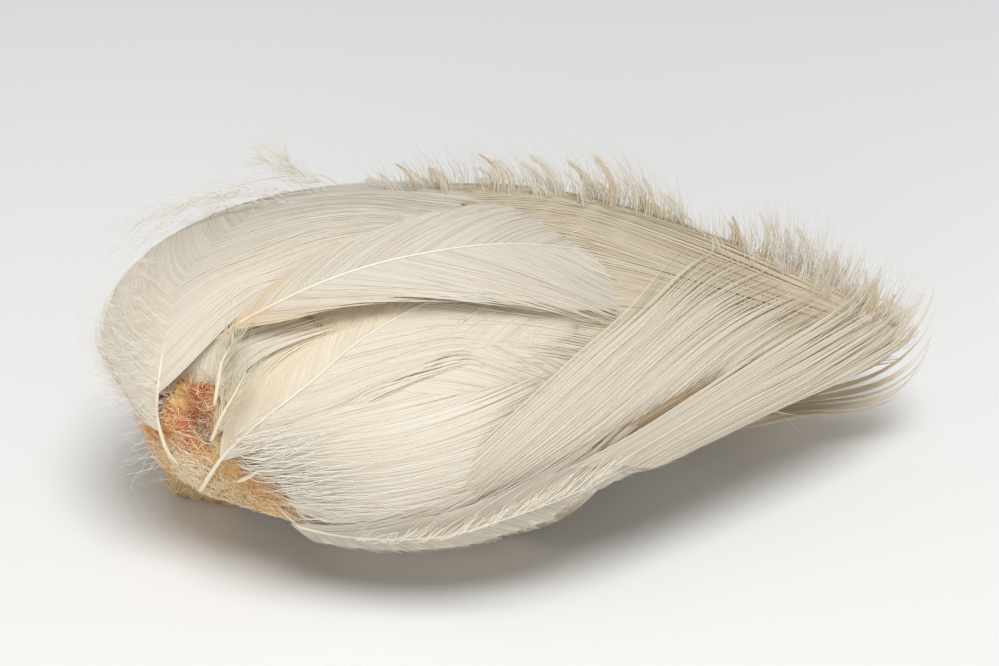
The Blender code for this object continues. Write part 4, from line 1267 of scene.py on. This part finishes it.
QUILL_RADII = (0.3, 0.26, 0.18, 0.07)
SMALL_QUILLS = {
    "upper_small_quill": [(-40, 22, -1.6), (-39, 32, -0.8), (-38, 40, 0.0), (-36, 47, 0.6)],
    "lower_small_quill": [(-40, 6, -0.6), (-38, 18, 0.3), (-36, 27, 0.8), (-34, 35, 1.6)],
}
QUILL_POINTS, QUILL_HAIRS = 24, 90
for name, marks in SMALL_QUILLS.items():
    fine = through(marks, np.linspace(0, 1, QUILL_POINTS))
    skin, up = ground(fine[:, 0], fine[:, 1])
    path = skin + up * fine[:, 2:3]
    radius = np.interp(np.linspace(0, 1, QUILL_POINTS), np.linspace(0, 1, len(QUILL_RADII)), QUILL_RADII)
    rod = tubes([path], [radius])
    roots = path[rng.integers(2, QUILL_POINTS, QUILL_HAIRS)]
    side = rng.choice([-1.0, 1.0], (QUILL_HAIRS, 1))
    along = unit(path[-1] - path[0])
    across = unit(np.cross(along, up[0]))
    first = along + across * side * 0.5
    last = along + across * side * 0.15 + np.array([0, 0, -0.1])
    hairs, u = sprout(roots, first, last, rng.uniform(3, 7.5, QUILL_HAIRS), 10, 0.12, 0.12)
    barbs = hair_parts(hairs, u, rng.uniform(0.07, 0.12, QUILL_HAIRS), 0.02)
    tone = tints(LIGHT, (0.93, 0.80, 0.52), rng.uniform(0, 1, QUILL_HAIRS), u)
    made = mesh_of(name + "_dressed", [rod, barbs], horn, [plain(QUILL_BASE, rod), tone])
    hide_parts(name)

parts, tones = fringe()
mesh_of("crest_tips", parts, down_material, tones, rounded=False)

skin_material = tinted_material("dried_skin", 0.55, 0, 0.3)
fibre_material = tinted_material("matted_fibres", 0.5, 0.12)
part, tone = crust()
skin = mesh_of("skin_crust", [part], skin_material, [tone])
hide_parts("skin_scrap")
EXTRAS = (("matted_fibres", matted, fibre_material), ("loose_barbs", loose_barbs, fibre_material),
          ("left_down", fluff, down_material), ("inner_down", lining, down_material))
for name, make, stuff in EXTRAS:
    parts, tones = make()
    mesh_of(name, parts, stuff, tones, rounded=False)

# floor, light and camera
# the floor's colour darkens and cools towards the back: painted falloff of light
NEAR_FLOOR_LIT, FAR_FLOOR_SHADED = (0.85, 0.85, 0.848), (0.66, 0.672, 0.70)
bpy.ops.mesh.primitive_plane_add(size=6.0, location=(0, 0, 0))
floor = bpy.context.object
floor.name = "floor"
m, nodes, links = node_material("pale_floor")
place = nodes.new("ShaderNodeTexCoord")
apart = nodes.new("ShaderNodeSeparateXYZ")
links.new(place.outputs["Object"], apart.inputs[0])
far = nodes.new("ShaderNodeMapRange")
far.inputs["From Min"].default_value = -0.05
far.inputs["From Max"].default_value = 0.2
links.new(apart.outputs["Y"], far.inputs["Value"])
shade = nodes.new("ShaderNodeMix")
shade.data_type = "RGBA"
shade.inputs[6].default_value = (*NEAR_FLOOR_LIT, 1)
shade.inputs[7].default_value = (*FAR_FLOOR_SHADED, 1)
links.new(far.outputs["Result"], shade.inputs[0])
links.new(shade.outputs[2], nodes["Principled BSDF"].inputs["Base Color"])
nodes["Principled BSDF"].inputs["Roughness"].default_value = 0.8
nodes["Principled BSDF"].inputs["Specular IOR Level"].default_value = 0.0
floor.data.materials.append(m)


def lamp(name, place, aim, size, watts, colour):
    """A round area light that points at aim."""
    bpy.ops.object.light_add(type="AREA", location=place)
    ob = bpy.context.object
    ob.name = name
    ob.data.shape = "DISK"
    ob.data.size = size
    ob.data.energy = watts
    ob.data.color = colour
    ob.rotation_euler = (Vector(aim) - Vector(place)).to_track_quat("-Z", "Y").to_euler()
    return ob


AIM, LAMP_SIZE = (0, 0, 0.02), 1.0
KEY_WATTS, FILL_WATTS, SKY_STRENGTH = 22.0, 8.5, 0.36
key = lamp("key", (0.12, -0.42, 1.6), AIM, LAMP_SIZE, KEY_WATTS, (0.955, 0.98, 1.0))
fill = lamp("fill", (-0.45, -1.7, 0.42), AIM, LAMP_SIZE, FILL_WATTS, (1.0, 0.96, 0.915))

world = bpy.data.worlds.new("studio")
bpy.context.scene.world = world
world.use_nodes = True
world.node_tree.nodes["Background"].inputs[0].default_value = (1.0, 0.93, 0.83, 1)
world.node_tree.nodes["Background"].inputs[1].default_value = SKY_STRENGTH
bpy.context.scene.view_settings.view_transform = "Standard"

TARGET = Vector((-0.0031, -0.0001, 0.027))
DISTANCE, ELEVATION = 0.403, math.radians(32)
camera_data = bpy.data.cameras.new("camera")
camera_data.lens, camera_data.sensor_width = 100, 36
camera = bpy.data.objects.new("camera", camera_data)
bpy.context.scene.collection.objects.link(camera)
camera.location = TARGET + Vector((0, -math.cos(ELEVATION), math.sin(ELEVATION))) * DISTANCE
camera.rotation_euler = (TARGET - camera.location).to_track_quat("-Z", "Y").to_euler()
bpy.context.scene.camera = camera
